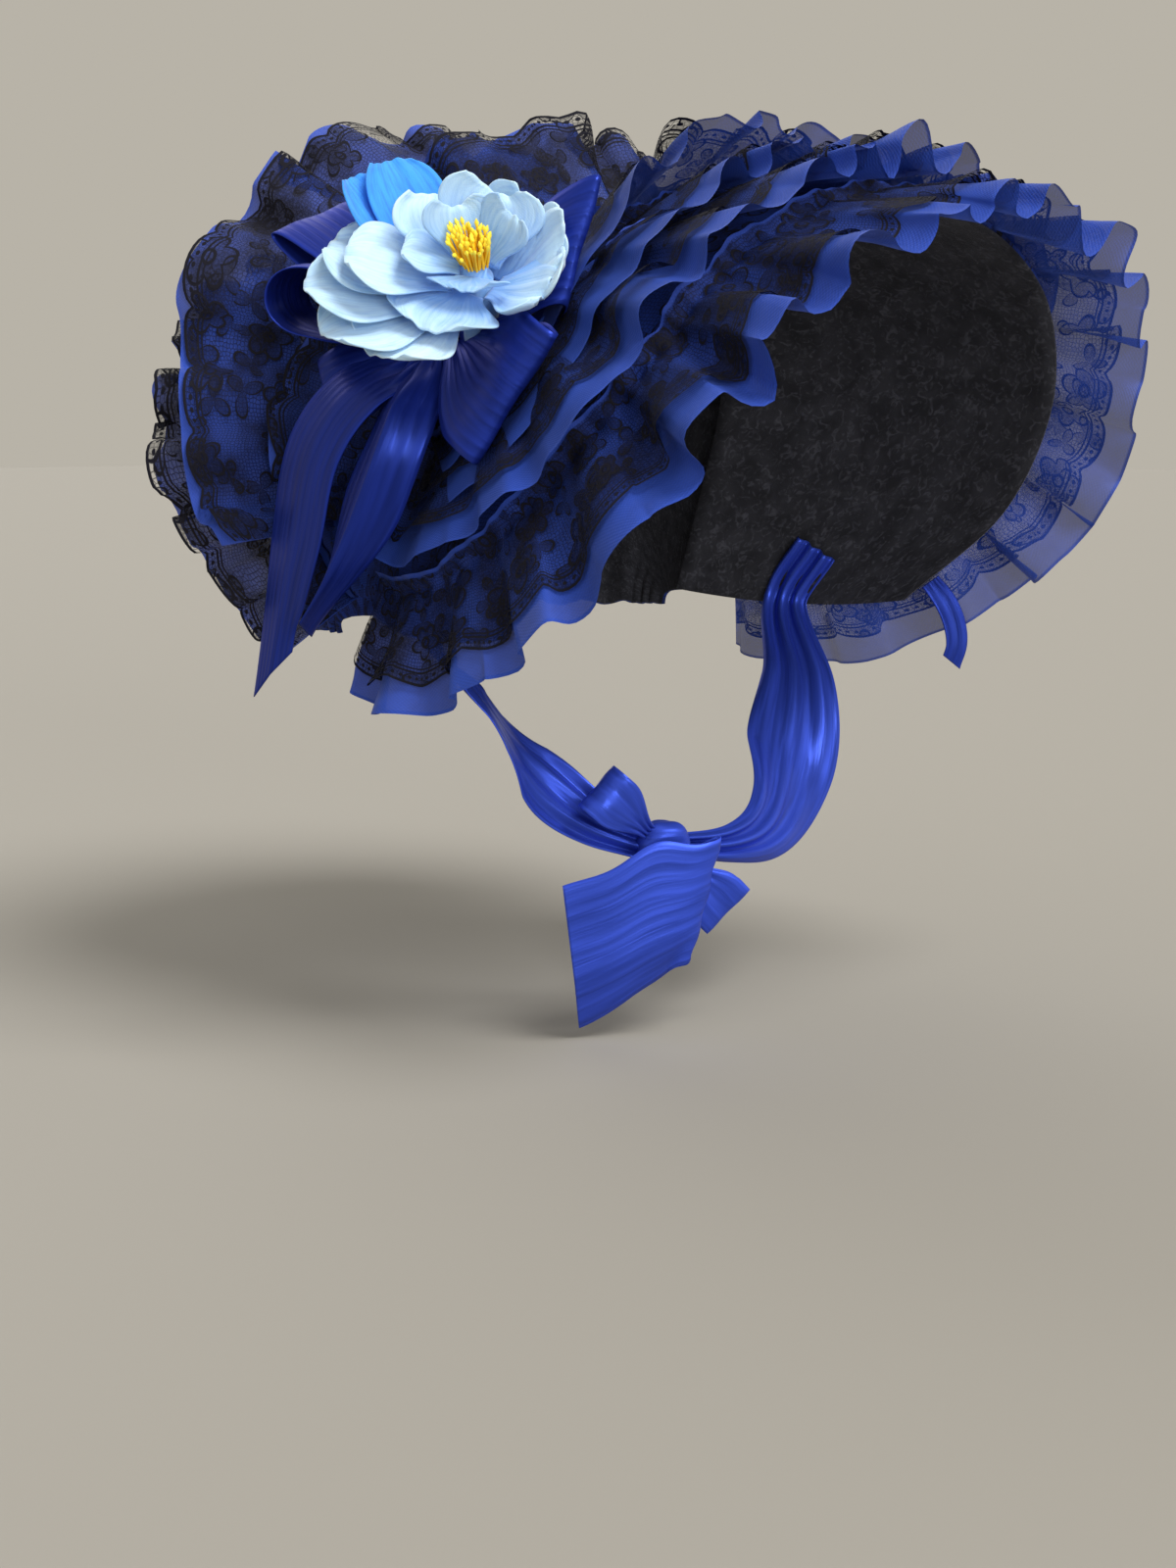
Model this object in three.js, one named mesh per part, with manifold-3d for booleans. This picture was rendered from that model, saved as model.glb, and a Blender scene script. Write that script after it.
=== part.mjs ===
// A ruffled bonnet: a stiff brim lined with velvet, a soft gathered crown, tiers of lace-covered ruffles,
// a cloth flower on a ribbon bow, and chin ties knotted in a second bow.
// Millimetres, +Z up. The wearer faces -Y, so the wearer's right is -X.
// The origin is the point inside the crown that sits on top of the head.
import * as THREE from "three";
import { mergeVertices } from "three/addons/utils/BufferGeometryUtils.js";
import Module from "manifold-3d";

const wasm = await Module();
wasm.setup();

const vec = (x, y, z) => new THREE.Vector3(x, y, z);
const { lerp, degToRad, clamp, smoothstep } = THREE.MathUtils;

// Wall thicknesses, and the clearance left where one piece is sewn against another.
const WALL = { brim: 2, lining: 1.2, crown: 1.6, ruffle: 1.2, ribbon: 1, petal: 1.2 };
const SEAM_GAP = 0.5;

// A point well inside the head, used to tell outward from inward.
const HEAD_CENTRE = vec(0, 20, -90);

// The wearer's left half of the arch, mirrored for the right. along: 0 at the top, 1 at the jaw.
// seam: where brim and crown are sewn together. rim: the free front edge of the brim.
const ARCH = [
  { along: 0.0, seamX: 0, seamY: 0, seamZ: 1, rimX: 0, rimY: -146, rimZ: 4 },
  { along: 0.2, seamX: 42, seamY: 3, seamZ: -5, rimX: 48, rimY: -144, rimZ: -5 },
  { along: 0.4, seamX: 75, seamY: 12, seamZ: -27, rimX: 90, rimY: -138, rimZ: -28 },
  { along: 0.6, seamX: 94, seamY: 28, seamZ: -64, rimX: 118, rimY: -124, rimZ: -66 },
  { along: 0.8, seamX: 100, seamY: 45, seamZ: -108, rimX: 134, rimY: -92, rimZ: -112 },
  { along: 1.0, seamX: 98, seamY: 58, seamZ: -150, rimX: 131, rimY: -44, rimZ: -152 },
];
const BRIM = { bulge: 9, columns: 24, rows: 4 };

// The open edge of the crown at the nape, half an ellipse behind the ears.
const NAPE = { halfWidth: 102, frontY: 74, depth: 66, height: -158 };
const CROWN = { pull: 0.52, puff: 0.15, pleats: 12, pleatDepth: 3, pleatStart: 0.56, rows: 6 };

// Front tiers stand on the brim with their hems forward. place: between seam (0) and rim (1).
// end and wrap: how far the sewn line runs down the arch, and how far round the jaw corner it turns.
// lift and topLift: angle off the host at the sides and at the top; droop: how much the strip bends back.
// press: share of the lift lost under the corsage.
const FRONT_TIERS = [
  {
    name: "ruffle_rim", place: 0.86, end: 0.93, wrap: 81, length: 58,
    lift: 13, topLift: 5, droop: 6, waves: 19, depth: 8, press: 0,
  },
  {
    name: "ruffle_front_2", place: 0.62, end: 0.85, wrap: 76, length: 66,
    lift: 24, topLift: 14, droop: 12, waves: 16, depth: 6.5, press: 0.5,
  },
  {
    name: "ruffle_front_3", place: 0.4, end: 0.78, wrap: 68, length: 62,
    lift: 31, topLift: 15, droop: 12, waves: 13, depth: 6, press: 0.84,
  },
  {
    name: "ruffle_front_4", place: 0.17, end: 0.82, wrap: 48, length: 56,
    lift: 40, topLift: 34, droop: 16, waves: 11, depth: 5.5, press: 0.96,
  },
];
// Back tiers stand on the crown with their hems to the rear. place: between seam (0) and nape (1).
const BACK_TIERS = [
  {
    name: "ruffle_back_1", place: 0.07, end: 0.97, wrap: 45, length: 52,
    lift: 58, topLift: 44, droop: 14, waves: 12, depth: 5.5, press: 0.88,
  },
  {
    name: "ruffle_back_2", place: 0.24, end: 0.97, wrap: 45, length: 70,
    lift: 62, topLift: 48, droop: 14, waves: 14, depth: 6.5, press: 0.35,
  },
  {
    name: "ruffle_back_3", place: 0.42, end: 0.97, wrap: 45, length: 56,
    lift: 54, topLift: 46, droop: 16, waves: 16, depth: 8.5, press: 0,
  },
];
const RUFFLE = { columnsPerWave: 4, rows: 2, cornerPower: 4, endTaper: 0.3 };

// The corsage sits at the seam on the wearer's right. pressWidth: share of the arch it presses on.
// The flower's origin is measured from the seat: x towards the face, y up, z out; facing is its own tilt.
const CORSAGE = {
  along: -0.52,
  place: 0.1,
  pressWidth: 0.27,
  facing: vec(-0.87, -0.14, 0.47).normalize(),
};
const FLOWER = { x: 15, y: 2, z: 35, facing: vec(-0.6, -0.24, 0.76).normalize(), lopsided: 0.13 };
const POST = { radius: 4, bottom: 2.6, top: 11.6 };
const KNOT = { halfWidth: 12, halfHeight: 9, halfDepth: 8, height: 20 };

// Stepped core of the flower: each ring of petals starts on the side of its own step.
const FLOWER_STEPS = [
  { radius: 4, top: 1, bottom: -10.4 },
  { radius: 10, top: 9.6, bottom: 0 },
  { radius: 7, top: 17.2, bottom: 0 },
  { radius: 4.5, top: 22.8, bottom: 0 },
];
// tilt: rise from the flower's plane at the root; curl: change of tilt by the tip;
// rake: extra tilt of the petals that point upwards.
const PETAL_RINGS = [
  {
    name: "petal_blue", material: "azure", count: 2, first: 99, step: 33, from: 10,
    height: 0.8, length: 50, width: 14, tilt: 16, curl: 6, rake: 0, cup: 3, twist: 2,
  },
  {
    name: "petal_outer", material: "petal", count: 6, first: 30, step: 60, from: 10,
    height: 8.6, length: 42, width: 23, tilt: 19, curl: 8, rake: 9, cup: 3, twist: 4.3,
  },
  {
    name: "petal_middle", material: "petal", count: 5, first: 65, step: 72, from: 7,
    height: 14.9, length: 33, width: 18, tilt: 32, curl: 12, rake: 5, cup: 3.5, twist: 3,
  },
  {
    name: "petal_inner", material: "petal", count: 4, first: 20, step: 90, from: 4.5,
    height: 20.4, length: 20, width: 11, tilt: 40, curl: 12, rake: 3, cup: 3, twist: 2,
  },
];
const PETAL = { columns: 4, rows: 4, rootShare: 0.34, tipShare: 0.6, widest: 0.62, tipRound: 0.2 };
const STAMENS = {
  count: 17, spread: 3.6, length: 12, lean: 24,
  thickness: 1.1, baseRadius: 4.2, baseHeight: 1.6,
};

// Ribbon loops. angle: heading round the knot, 0 towards the face and 90 up. rise: slope off the plane.
// swell: half the loop's opening; height: of the root above the seat; root: its distance from the axis.
const BOW_LOOPS = [
  {
    name: "bow_loop_upper", angle: 158, rise: 10, length: 64, width: 40,
    swell: 4, height: 14.5, root: 11.6,
  },
  {
    name: "bow_loop_rear", angle: 190, rise: 19, length: 60, width: 34,
    swell: 4, height: 23.5, root: 9.9,
  },
  {
    name: "bow_loop_face", angle: 17, rise: 20, length: 44, width: 38,
    swell: 3.5, height: 15, root: 13,
  },
  {
    name: "bow_loop_lower", angle: -38, rise: 20, length: 58, width: 42,
    swell: 4, height: 17, root: 11.9,
  },
  {
    name: "bow_loop_under", angle: -148, rise: 8, length: 44, width: 32,
    swell: 3.5, height: 14, root: 11.8,
  },
];
const CHIN_LOOPS = [
  {
    name: "chin_loop_near", angle: 138, rise: 12, length: 26, width: 30,
    swell: 6, height: 3, root: 11,
  },
  {
    name: "chin_loop_far", angle: -46, rise: -4, length: 30, width: 28,
    swell: 1.8, height: 3, root: 12.1,
  },
];
const LOOP = { columns: 12, rows: 2, rootShare: 0.3, rootGap: 1.4 };

// Plain ribbon lengths. line: centre line from the sewn or knotted end.
// widths: at the start, middle and end; from and to: way the width runs at each end; cut: slant of the tip.
// root: where a bow tail leaves the knot, measured from the seat.
const BOW_TAILS = [
  {
    name: "bow_tail_rear", widths: [11, 30, 30], cut: 14,
    from: [0.2, 1, 0.1], to: [0.1, 1, 0.35], root: [-1, -10.9, 18],
    line: [[-135, 24.5, -78], [-141, 50, -120], [-142, 68, -156], [-145, 78, -186]],
  },
  {
    name: "bow_tail_front", widths: [11, 26, 12], cut: 8,
    from: [0.1, 1, 0], to: [0.1, 1, 0.3], root: [0.5, -10, 23],
    line: [[-141, 8, -80], [-153, 37, -122], [-152, 54, -152], [-152, 66, -176]],
  },
];
const CHIN_TIES = [
  {
    name: "chin_tie_right", widths: [20, 44, 20], cut: 0, side: -1, to: [0, 0.1, 1],
    line: [[-98, -4, -184], [-80, -12, -214], [-62, -26, -233], [-48.2, -36.8, -240.5]],
  },
  {
    name: "chin_tie_left", widths: [20, 44, 10], cut: 0, side: 1, to: [0, 0, 1],
    line: [[96, -10, -186], [66, -28, -222], [28, -47, -240], [-6, -54, -243], [-28.6, -50.6, -241]],
  },
];
// Free ends below the chin knot, in the knot's own coordinates: x to the wearer's left, y up, z outwards.
const CHIN_TAILS = [
  {
    name: "chin_tail_front", widths: [18, 50, 52], cut: 0, from: [0.3, 1, 0], to: [-0.1, 1, 0],
    line: [
      [5, -6.5, 6.6], [14, -14, 10.5], [23, -24, 14], [17, -29, 18],
      [-6, -36, 18], [-32, -44, 16], [-48, -49, 13],
    ],
  },
  {
    name: "chin_tail_rear", widths: [16, 44, 46], cut: 8, from: [1, 0, 0], to: [1, 0.2, 0],
    line: [[-1, -12.7, -1], [-2, -28, -4], [-4, -44, -5], [-8, -60, -5]],
  },
];
// The axis of the neck, which the chin knot faces out from.
const NECK = { x: 0, y: 10 };
const TIE = { brimPlace: 0.42, columns: 12, rows: 2, clear: 2 };
const CHIN_KNOT = { x: -38, y: -44, z: -241, halfWidth: 11, halfHeight: 12, halfDepth: 8 };

const materials = {
  chiffon: new THREE.MeshStandardMaterial({ color: 0x1d2f7a, roughness: 0.8 }),
  velvet: new THREE.MeshStandardMaterial({ color: 0x0a0a14, roughness: 0.95 }),
  ribbon: new THREE.MeshStandardMaterial({ color: 0x2b2590, roughness: 0.4 }),
  petal: new THREE.MeshStandardMaterial({ color: 0xb8d4f2, roughness: 0.7 }),
  azure: new THREE.MeshStandardMaterial({ color: 0x1f86ea, roughness: 0.6 }),
  stamen: new THREE.MeshStandardMaterial({ color: 0xf2c40f, roughness: 0.6 }),
};

const bonnet = new THREE.Group();
bonnet.name = "bonnet";

function weld(geometry) {
  geometry.deleteAttribute("uv");
  geometry.deleteAttribute("normal");
  const welded = mergeVertices(geometry, 1e-4);
  welded.computeVertexNormals();
  return welded;
}

function addPiece(name, geometry, material) {
  const mesh = new THREE.Mesh(geometry, material);
  mesh.name = name;
  bonnet.add(mesh);
}

function slope(surface, u, v, du, dv) {
  const from = surface(clamp(u - du, 0, 1), clamp(v - dv, 0, 1));
  return surface(clamp(u + du, 0, 1), clamp(v + dv, 0, 1)).sub(from);
}

function normalAt(surface, u, v) {
  const step = 1e-3;
  return slope(surface, u, v, step, 0).cross(slope(surface, u, v, 0, step)).normalize();
}

// Splits the quads of the far broad face along the near one's diagonals, so stacked sheets stay parallel.
function matchDiagonals(box) {
  const far = box.groups[5];
  for (let i = far.start; i < far.start + far.count; i += 6) {
    const [a, b, d, , c] = box.index.array.slice(i, i + 5);
    box.index.array.set([a, b, c, a, c, d], i);
  }
}

// A flat box bent so that its two broad faces follow a surface, half a wall to either side.
function bentSheet(columns, rows, thickness, surface) {
  const box = new THREE.BoxGeometry(1, 1, 1, columns, rows, 1);
  matchDiagonals(box);
  const corners = box.getAttribute("position");
  for (let i = 0; i < corners.count; i++) {
    const u = corners.getX(i) + 0.5;
    const v = corners.getY(i) + 0.5;
    const p = surface(u, v).addScaledVector(normalAt(surface, u, v), corners.getZ(i) * thickness);
    corners.setXYZ(i, p.x, p.y, p.z);
  }
  return weld(box);
}

function archCurve(edge) {
  const point = (row, side) => vec(side * row[`${edge}X`], row[`${edge}Y`], row[`${edge}Z`]);
  const right = ARCH.slice(1).reverse().map((row) => point(row, -1));
  const left = ARCH.map((row) => point(row, 1));
  return new THREE.CatmullRomCurve3([...right, ...left]);
}

const seamCurve = archCurve("seam");
const rimCurve = archCurve("rim");
const onArch = (curve, along) => curve.getPoint((clamp(along, -1, 1) + 1) / 2);

// out runs from the seam (0) to the rim (1).
function brimPoint(along, out) {
  const p = onArch(seamCurve, along).lerp(onArch(rimCurve, along), out);
  const outward = vec(p.x, 0, p.z - HEAD_CENTRE.z).normalize();
  return p.addScaledVector(outward, 4 * BRIM.bulge * out * (1 - out));
}

function napePoint(along) {
  const sweep = ((along + 1) / 2) * Math.PI;
  return vec(-NAPE.halfWidth * Math.cos(sweep), NAPE.frontY + NAPE.depth * Math.sin(sweep), NAPE.height);
}

// back runs from the seam (0) over the dome to the nape edge (1); gathers deepen towards the nape.
function crownPoint(along, back) {
  const start = onArch(seamCurve, along);
  const end = napePoint(along);
  const span = start.distanceTo(end);
  const rear = start.clone().add(vec(0, CROWN.pull * span, 0));
  const above = end.clone().add(vec(0, 0, CROWN.pull * span));
  const p = new THREE.CubicBezierCurve3(start, rear, above, end).getPoint(back);
  const outward = p.clone().sub(HEAD_CENTRE).normalize();
  const gather = CROWN.pleatDepth * smoothstep(back, CROWN.pleatStart, 0.9) * smoothstep(span, 20, 120);
  const pleat = gather * Math.sin(Math.PI * CROWN.pleats * (along + 1));
  return p.addScaledVector(outward, CROWN.puff * span * Math.sin(Math.PI * back) + pleat);
}

function outwardAt(host, along, across) {
  const step = 2e-3;
  const p = host(along, across);
  const low = clamp(across - step, 0, 1);
  const high = clamp(across + step, 0, 1);
  const run = host(clamp(along + step, -1, 1), across).sub(host(clamp(along - step, -1, 1), across));
  const normal = run.cross(host(along, high).sub(host(along, low))).normalize();
  return normal.dot(p.sub(HEAD_CENTRE)) < 0 ? normal.negate() : normal;
}

// Share of the way across at which a sewn edge starts, one seam gap from the seam line.
function edgeShare(host, along) {
  const start = host(along, 0);
  return (SEAM_GAP / start.distanceTo(host(along, 0.05))) * 0.05;
}

function hostSheet(host, offset) {
  return (u, v) => {
    const along = lerp(-1, 1, u);
    const across = lerp(edgeShare(host, along), 1, v);
    return host(along, across).addScaledVector(outwardAt(host, along, across), offset);
  };
}

addPiece(
  "brim",
  bentSheet(BRIM.columns, BRIM.rows, WALL.brim, hostSheet(brimPoint, 0)),
  materials.chiffon,
);
const liningDrop = -(WALL.brim + WALL.lining) / 2 - SEAM_GAP;
addPiece(
  "brim_lining",
  bentSheet(BRIM.columns, BRIM.rows, WALL.lining, hostSheet(brimPoint, liningDrop)),
  materials.velvet,
);
addPiece(
  "crown",
  bentSheet(CROWN.pleats * 4, CROWN.rows, WALL.crown, hostSheet(crownPoint, 0)),
  materials.chiffon,
);

// Evenly spaced places along a tier's sewn line, which turns the jaw corner as a rounded rectangle does.
function sewnLine(host, tier) {
  const steps = 240;
  const power = RUFFLE.cornerPower;
  const places = [];
  let length = 0;
  let last = null;
  for (let i = 0; i <= steps; i++) {
    const turn = degToRad(lerp(-tier.wrap, tier.wrap, i / steps));
    const side = Math.sin(turn);
    const top = Math.cos(turn);
    const reach = (Math.abs(side) ** power + top ** power) ** (-1 / power);
    const along = tier.end * reach * side;
    const across = tier.place * reach * top;
    const p = host(along, across);
    length += last ? p.distanceTo(last) : 0;
    last = p;
    places.push({ along, across, length });
  }
  return (share) => {
    const wanted = clamp(share, 0, 1) * length;
    const next = clamp(places.findIndex((place) => place.length >= wanted), 1, steps);
    const a = places[next - 1];
    const b = places[next];
    const part = (wanted - a.length) / (b.length - a.length);
    return { along: lerp(a.along, b.along, part), across: lerp(a.across, b.across, part) };
  };
}

// A gathered strip: flat where it is sewn, rising at the lift angle and waving more towards its hem.
function ruffleSurface(host, hostWall, tier, heading, phase) {
  const line = sewnLine(host, tier);
  const at = (share) => {
    const place = line(share);
    return host(place.along, place.across);
  };
  return (u, v) => {
    const { along, across } = line(u);
    const up = outwardAt(host, along, across);
    const run = at(u + 2e-3).sub(at(u - 2e-3)).normalize();
    const ahead = run.cross(up).multiplyScalar(heading).normalize();
    const press = 1 - tier.press * Math.exp(-(((along - CORSAGE.along) / CORSAGE.pressWidth) ** 2));
    const lift = degToRad(lerp(tier.topLift, tier.lift, smoothstep(Math.abs(along), 0.1, 0.5)) * press);
    const bend = degToRad(tier.droop * press);
    const end = Math.abs(2 * u - 1) ** 5;
    const length = tier.length * (1 - RUFFLE.endTaper * end) * (1 + 0.05 * Math.sin(33 * u + phase));
    const slant = lift - bend * v;
    const reach = (length * (Math.sin(lift) - Math.sin(slant))) / bend;
    const rise = (length * (Math.cos(slant) - Math.cos(lift))) / bend;
    const swing = 2 * Math.PI * tier.waves * u + phase + 0.7 * Math.sin(14 * u + 2 * phase);
    const depth = tier.depth * press * (1 - RUFFLE.endTaper * end);
    const wave = depth * v * (0.82 + 0.18 * Math.sin(23 * u + phase)) * Math.sin(swing);
    return at(u)
      .addScaledVector(up, (hostWall + WALL.ruffle) / 2 + SEAM_GAP + rise + wave * Math.cos(slant))
      .addScaledVector(ahead, reach - wave * Math.sin(slant));
  };
}

function addTiers(tiers, host, hostWall, heading) {
  tiers.forEach((tier, i) => {
    const surface = ruffleSurface(host, hostWall, tier, heading, 1.7 * i + heading);
    const columns = tier.waves * RUFFLE.columnsPerWave;
    addPiece(tier.name, bentSheet(columns, RUFFLE.rows, WALL.ruffle, surface), materials.chiffon);
  });
}

addTiers(FRONT_TIERS, brimPoint, WALL.brim, 1);
addTiers(BACK_TIERS, crownPoint, WALL.crown, -1);

// A set of axes that faces a given way: x level, y up, z out.
function facingFrame(origin, facing) {
  const level = vec(0, 0, 1).cross(facing).normalize();
  return new THREE.Matrix4().makeBasis(level, facing.clone().cross(level), facing).setPosition(origin);
}

const seat = brimPoint(CORSAGE.along, CORSAGE.place);
const bowFrame = facingFrame(seat, CORSAGE.facing);
const flowerFrame = facingFrame(vec(FLOWER.x, FLOWER.y, FLOWER.z).applyMatrix4(bowFrame), FLOWER.facing);

// Solids joined into one body.
function joined(geometries) {
  const solids = geometries.map((geometry) => {
    const welded = weld(geometry);
    const mesh = new wasm.Mesh({
      numProp: 3,
      vertProperties: new Float32Array(welded.getAttribute("position").array),
      triVerts: new Uint32Array(welded.index.array),
    });
    mesh.merge();
    return new wasm.Manifold(mesh);
  });
  const body = wasm.Manifold.union(solids).getMesh();
  const geometry = new THREE.BufferGeometry();
  geometry.setAttribute("position", new THREE.BufferAttribute(body.vertProperties, 3));
  geometry.setIndex(new THREE.BufferAttribute(body.triVerts, 1));
  geometry.computeVertexNormals();
  return geometry;
}

// An upright round bar, its axis along z.
function bar(radius, bottom, top, segments) {
  const geometry = new THREE.CylinderGeometry(radius, radius, top - bottom, segments);
  return geometry.rotateX(Math.PI / 2).translate(0, 0, (top + bottom) / 2);
}

const post = weld(bar(POST.radius, POST.bottom, POST.top, 12));
addPiece("corsage_post", post.applyMatrix4(bowFrame), materials.ribbon);

function knotBall(size) {
  return weld(new THREE.SphereGeometry(1, 10, 6).scale(size.halfWidth, size.halfHeight, size.halfDepth));
}

const bowKnot = knotBall(KNOT).translate(0, 0, KNOT.height);
addPiece("bow_knot", bowKnot.applyMatrix4(bowFrame), materials.ribbon);

const core = joined(FLOWER_STEPS.map((step) => bar(step.radius, step.bottom, step.top, 16)));
addPiece("flower_core", core.applyMatrix4(flowerFrame), materials.petal);

// Narrow at the root, widest part-way out, rounded at the tip, cupped and turned so neighbours shingle.
function petalSurface(ring, index) {
  const heading = degToRad(ring.first + ring.step * index);
  const tilt = degToRad(ring.tilt + ring.rake * Math.sin(heading));
  const curl = degToRad(ring.curl);
  return (u, v) => {
    const side = 2 * u - 1;
    const share = v < PETAL.widest
      ? lerp(PETAL.rootShare, 1, smoothstep(v, 0, PETAL.widest))
      : lerp(1, PETAL.tipShare, ((v - PETAL.widest) / (1 - PETAL.widest)) ** 2);
    const full = ring.length * (1 - FLOWER.lopsided * Math.cos(heading));
    const length = full * v * (1 - PETAL.tipRound * (side * v) ** 2);
    const slant = tilt + curl * v;
    const reach = (length * (Math.sin(slant) - Math.sin(tilt))) / (curl * v || 1);
    const rise = (length * (Math.cos(tilt) - Math.cos(slant))) / (curl * v || 1);
    const across = side * ring.width * share;
    const out = ring.from + SEAM_GAP + WALL.petal * Math.sin(tilt) + reach;
    const height = ring.height + rise + ring.cup * v * side * side + ring.twist * side;
    const x = out * Math.cos(heading) - across * Math.sin(heading);
    const y = out * Math.sin(heading) + across * Math.cos(heading);
    return vec(x, y, height).applyMatrix4(flowerFrame);
  };
}

for (const ring of PETAL_RINGS) {
  for (let i = 0; i < ring.count; i++) {
    const sheet = bentSheet(PETAL.columns, PETAL.rows, WALL.petal, petalSurface(ring, i));
    addPiece(`${ring.name}_${i + 1}`, sheet, materials[ring.material]);
  }
}

// Stamens stand on a small button in a sunflower spiral, leaning outwards.
function stamenCluster() {
  const bottom = FLOWER_STEPS.at(-1).top + SEAM_GAP;
  const solids = [bar(STAMENS.baseRadius, bottom, bottom + STAMENS.baseHeight, 12)];
  for (let i = 0; i < STAMENS.count; i++) {
    const share = Math.sqrt((i + 0.5) / STAMENS.count);
    const turn = i * 2.4;
    const half = STAMENS.thickness / 2;
    const rod = new THREE.CylinderGeometry(half * 1.5, half, STAMENS.length, 5).rotateX(Math.PI / 2);
    rod.translate(0, 0, STAMENS.length / 2).rotateY(degToRad(STAMENS.lean) * share).rotateZ(turn);
    const spread = STAMENS.spread * share;
    solids.push(rod.translate(spread * Math.cos(turn), spread * Math.sin(turn), bottom + 1));
  }
  return joined(solids).applyMatrix4(flowerFrame);
}

addPiece("stamens", stamenCluster(), materials.stamen);

// A ribbon loop: out from the knot, round its open end and back, pinched where the knot holds it.
function loopSurface(loop, frame) {
  const turn = new THREE.Matrix4()
    .makeRotationZ(degToRad(loop.angle))
    .multiply(new THREE.Matrix4().makeRotationY(degToRad(-loop.rise)));
  return (u, v) => {
    const out = loop.root + loop.length * Math.sin(Math.PI * u);
    const open = loop.swell * Math.sin(2 * Math.PI * u) + LOOP.rootGap * (1 - 2 * u);
    const share = lerp(LOOP.rootShare, 1, smoothstep(Math.sin(Math.PI * u), 0, 0.75));
    const across = loop.width * share * (v - 0.5);
    return vec(out, across, open).applyMatrix4(turn).add(vec(0, 0, loop.height)).applyMatrix4(frame);
  };
}

function addLoops(loops, frame) {
  for (const loop of loops) {
    addPiece(
      loop.name,
      bentSheet(LOOP.columns, LOOP.rows, WALL.ribbon, loopSurface(loop, frame)),
      materials.ribbon,
    );
  }
}

addLoops(BOW_LOOPS, bowFrame);

// A ribbon that follows a centre line while its width turns from one way to another.
function ribbonSurface(ribbon, line) {
  const curve = new THREE.CatmullRomCurve3(line);
  const from = vec(...ribbon.from).normalize();
  const to = vec(...ribbon.to).normalize();
  const [start, middle, end] = ribbon.widths;
  return (u, v) => {
    const breadth = lerp(lerp(start, middle, smoothstep(u, 0.1, 0.5)), end, smoothstep(u, 0.5, 1));
    const tangent = curve.getTangentAt(u);
    const across = from.clone().lerp(to, u);
    across.addScaledVector(tangent, -across.dot(tangent)).normalize();
    const trim = ribbon.cut * (0.5 - v) * smoothstep(u, 0.75, 1);
    const p = curve.getPointAt(u).addScaledVector(across, breadth * (v - 0.5));
    return p.addScaledVector(tangent, trim);
  };
}

function addRibbon(ribbon, line) {
  const sheet = bentSheet(TIE.columns, TIE.rows, WALL.ribbon, ribbonSurface(ribbon, line));
  addPiece(ribbon.name, sheet, materials.ribbon);
}

for (const tail of BOW_TAILS) {
  const root = vec(...tail.root).applyMatrix4(bowFrame);
  addRibbon(tail, [root, ...tail.line.map((p) => vec(...p))]);
}

// Each tie is sewn inside the lining a little above the jaw edge and leaves over that edge.
for (const tie of CHIN_TIES) {
  const inside = -WALL.brim / 2 - WALL.lining - 2 * SEAM_GAP - WALL.ribbon / 2 - TIE.clear;
  const sewn = [0.88, 0.99].map((along) => {
    const normal = outwardAt(brimPoint, tie.side * along, TIE.brimPlace);
    return brimPoint(tie.side * along, TIE.brimPlace).addScaledVector(normal, inside);
  });
  const spread = brimPoint(tie.side * 0.94, 0.5).sub(brimPoint(tie.side * 0.94, 0.3));
  addRibbon({ ...tie, from: spread.negate().toArray() }, [...sewn, ...tie.line.map((p) => vec(...p))]);
}

// The chin knot faces straight out from the neck.
const chinOut = vec(CHIN_KNOT.x - NECK.x, CHIN_KNOT.y - NECK.y, 0).normalize();
const chinFrame = facingFrame(vec(CHIN_KNOT.x, CHIN_KNOT.y, CHIN_KNOT.z), chinOut);

addPiece("chin_knot", knotBall(CHIN_KNOT).applyMatrix4(chinFrame), materials.ribbon);
addLoops(CHIN_LOOPS, chinFrame);
for (const tail of CHIN_TAILS) {
  const turned = { ...tail };
  turned.from = vec(...tail.from).transformDirection(chinFrame).toArray();
  turned.to = vec(...tail.to).transformDirection(chinFrame).toArray();
  addRibbon(turned, tail.line.map((p) => vec(...p).applyMatrix4(chinFrame)));
}

export default bonnet;
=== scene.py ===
import math

import bmesh
import bpy
import numpy as np
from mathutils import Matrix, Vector


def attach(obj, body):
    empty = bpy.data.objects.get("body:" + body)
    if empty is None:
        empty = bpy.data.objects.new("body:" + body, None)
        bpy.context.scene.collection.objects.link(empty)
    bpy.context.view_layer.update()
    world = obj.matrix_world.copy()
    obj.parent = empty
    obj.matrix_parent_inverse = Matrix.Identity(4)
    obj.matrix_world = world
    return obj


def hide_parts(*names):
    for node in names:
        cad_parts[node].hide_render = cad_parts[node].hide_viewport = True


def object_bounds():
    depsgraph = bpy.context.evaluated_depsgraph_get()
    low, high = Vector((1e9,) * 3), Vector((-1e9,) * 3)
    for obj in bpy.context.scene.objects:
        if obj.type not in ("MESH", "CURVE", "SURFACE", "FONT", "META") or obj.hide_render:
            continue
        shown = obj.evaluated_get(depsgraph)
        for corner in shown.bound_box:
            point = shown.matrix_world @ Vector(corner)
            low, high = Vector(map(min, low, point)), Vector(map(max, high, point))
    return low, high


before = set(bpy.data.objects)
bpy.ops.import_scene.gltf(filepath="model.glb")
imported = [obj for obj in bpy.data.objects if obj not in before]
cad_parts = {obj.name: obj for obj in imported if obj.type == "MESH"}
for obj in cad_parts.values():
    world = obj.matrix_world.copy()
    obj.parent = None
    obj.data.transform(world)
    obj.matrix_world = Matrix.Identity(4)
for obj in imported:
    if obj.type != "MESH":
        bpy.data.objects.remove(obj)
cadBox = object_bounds()
scene = bpy.context.scene
scene.view_settings.view_transform = "Standard"
print("solids loaded")


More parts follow.
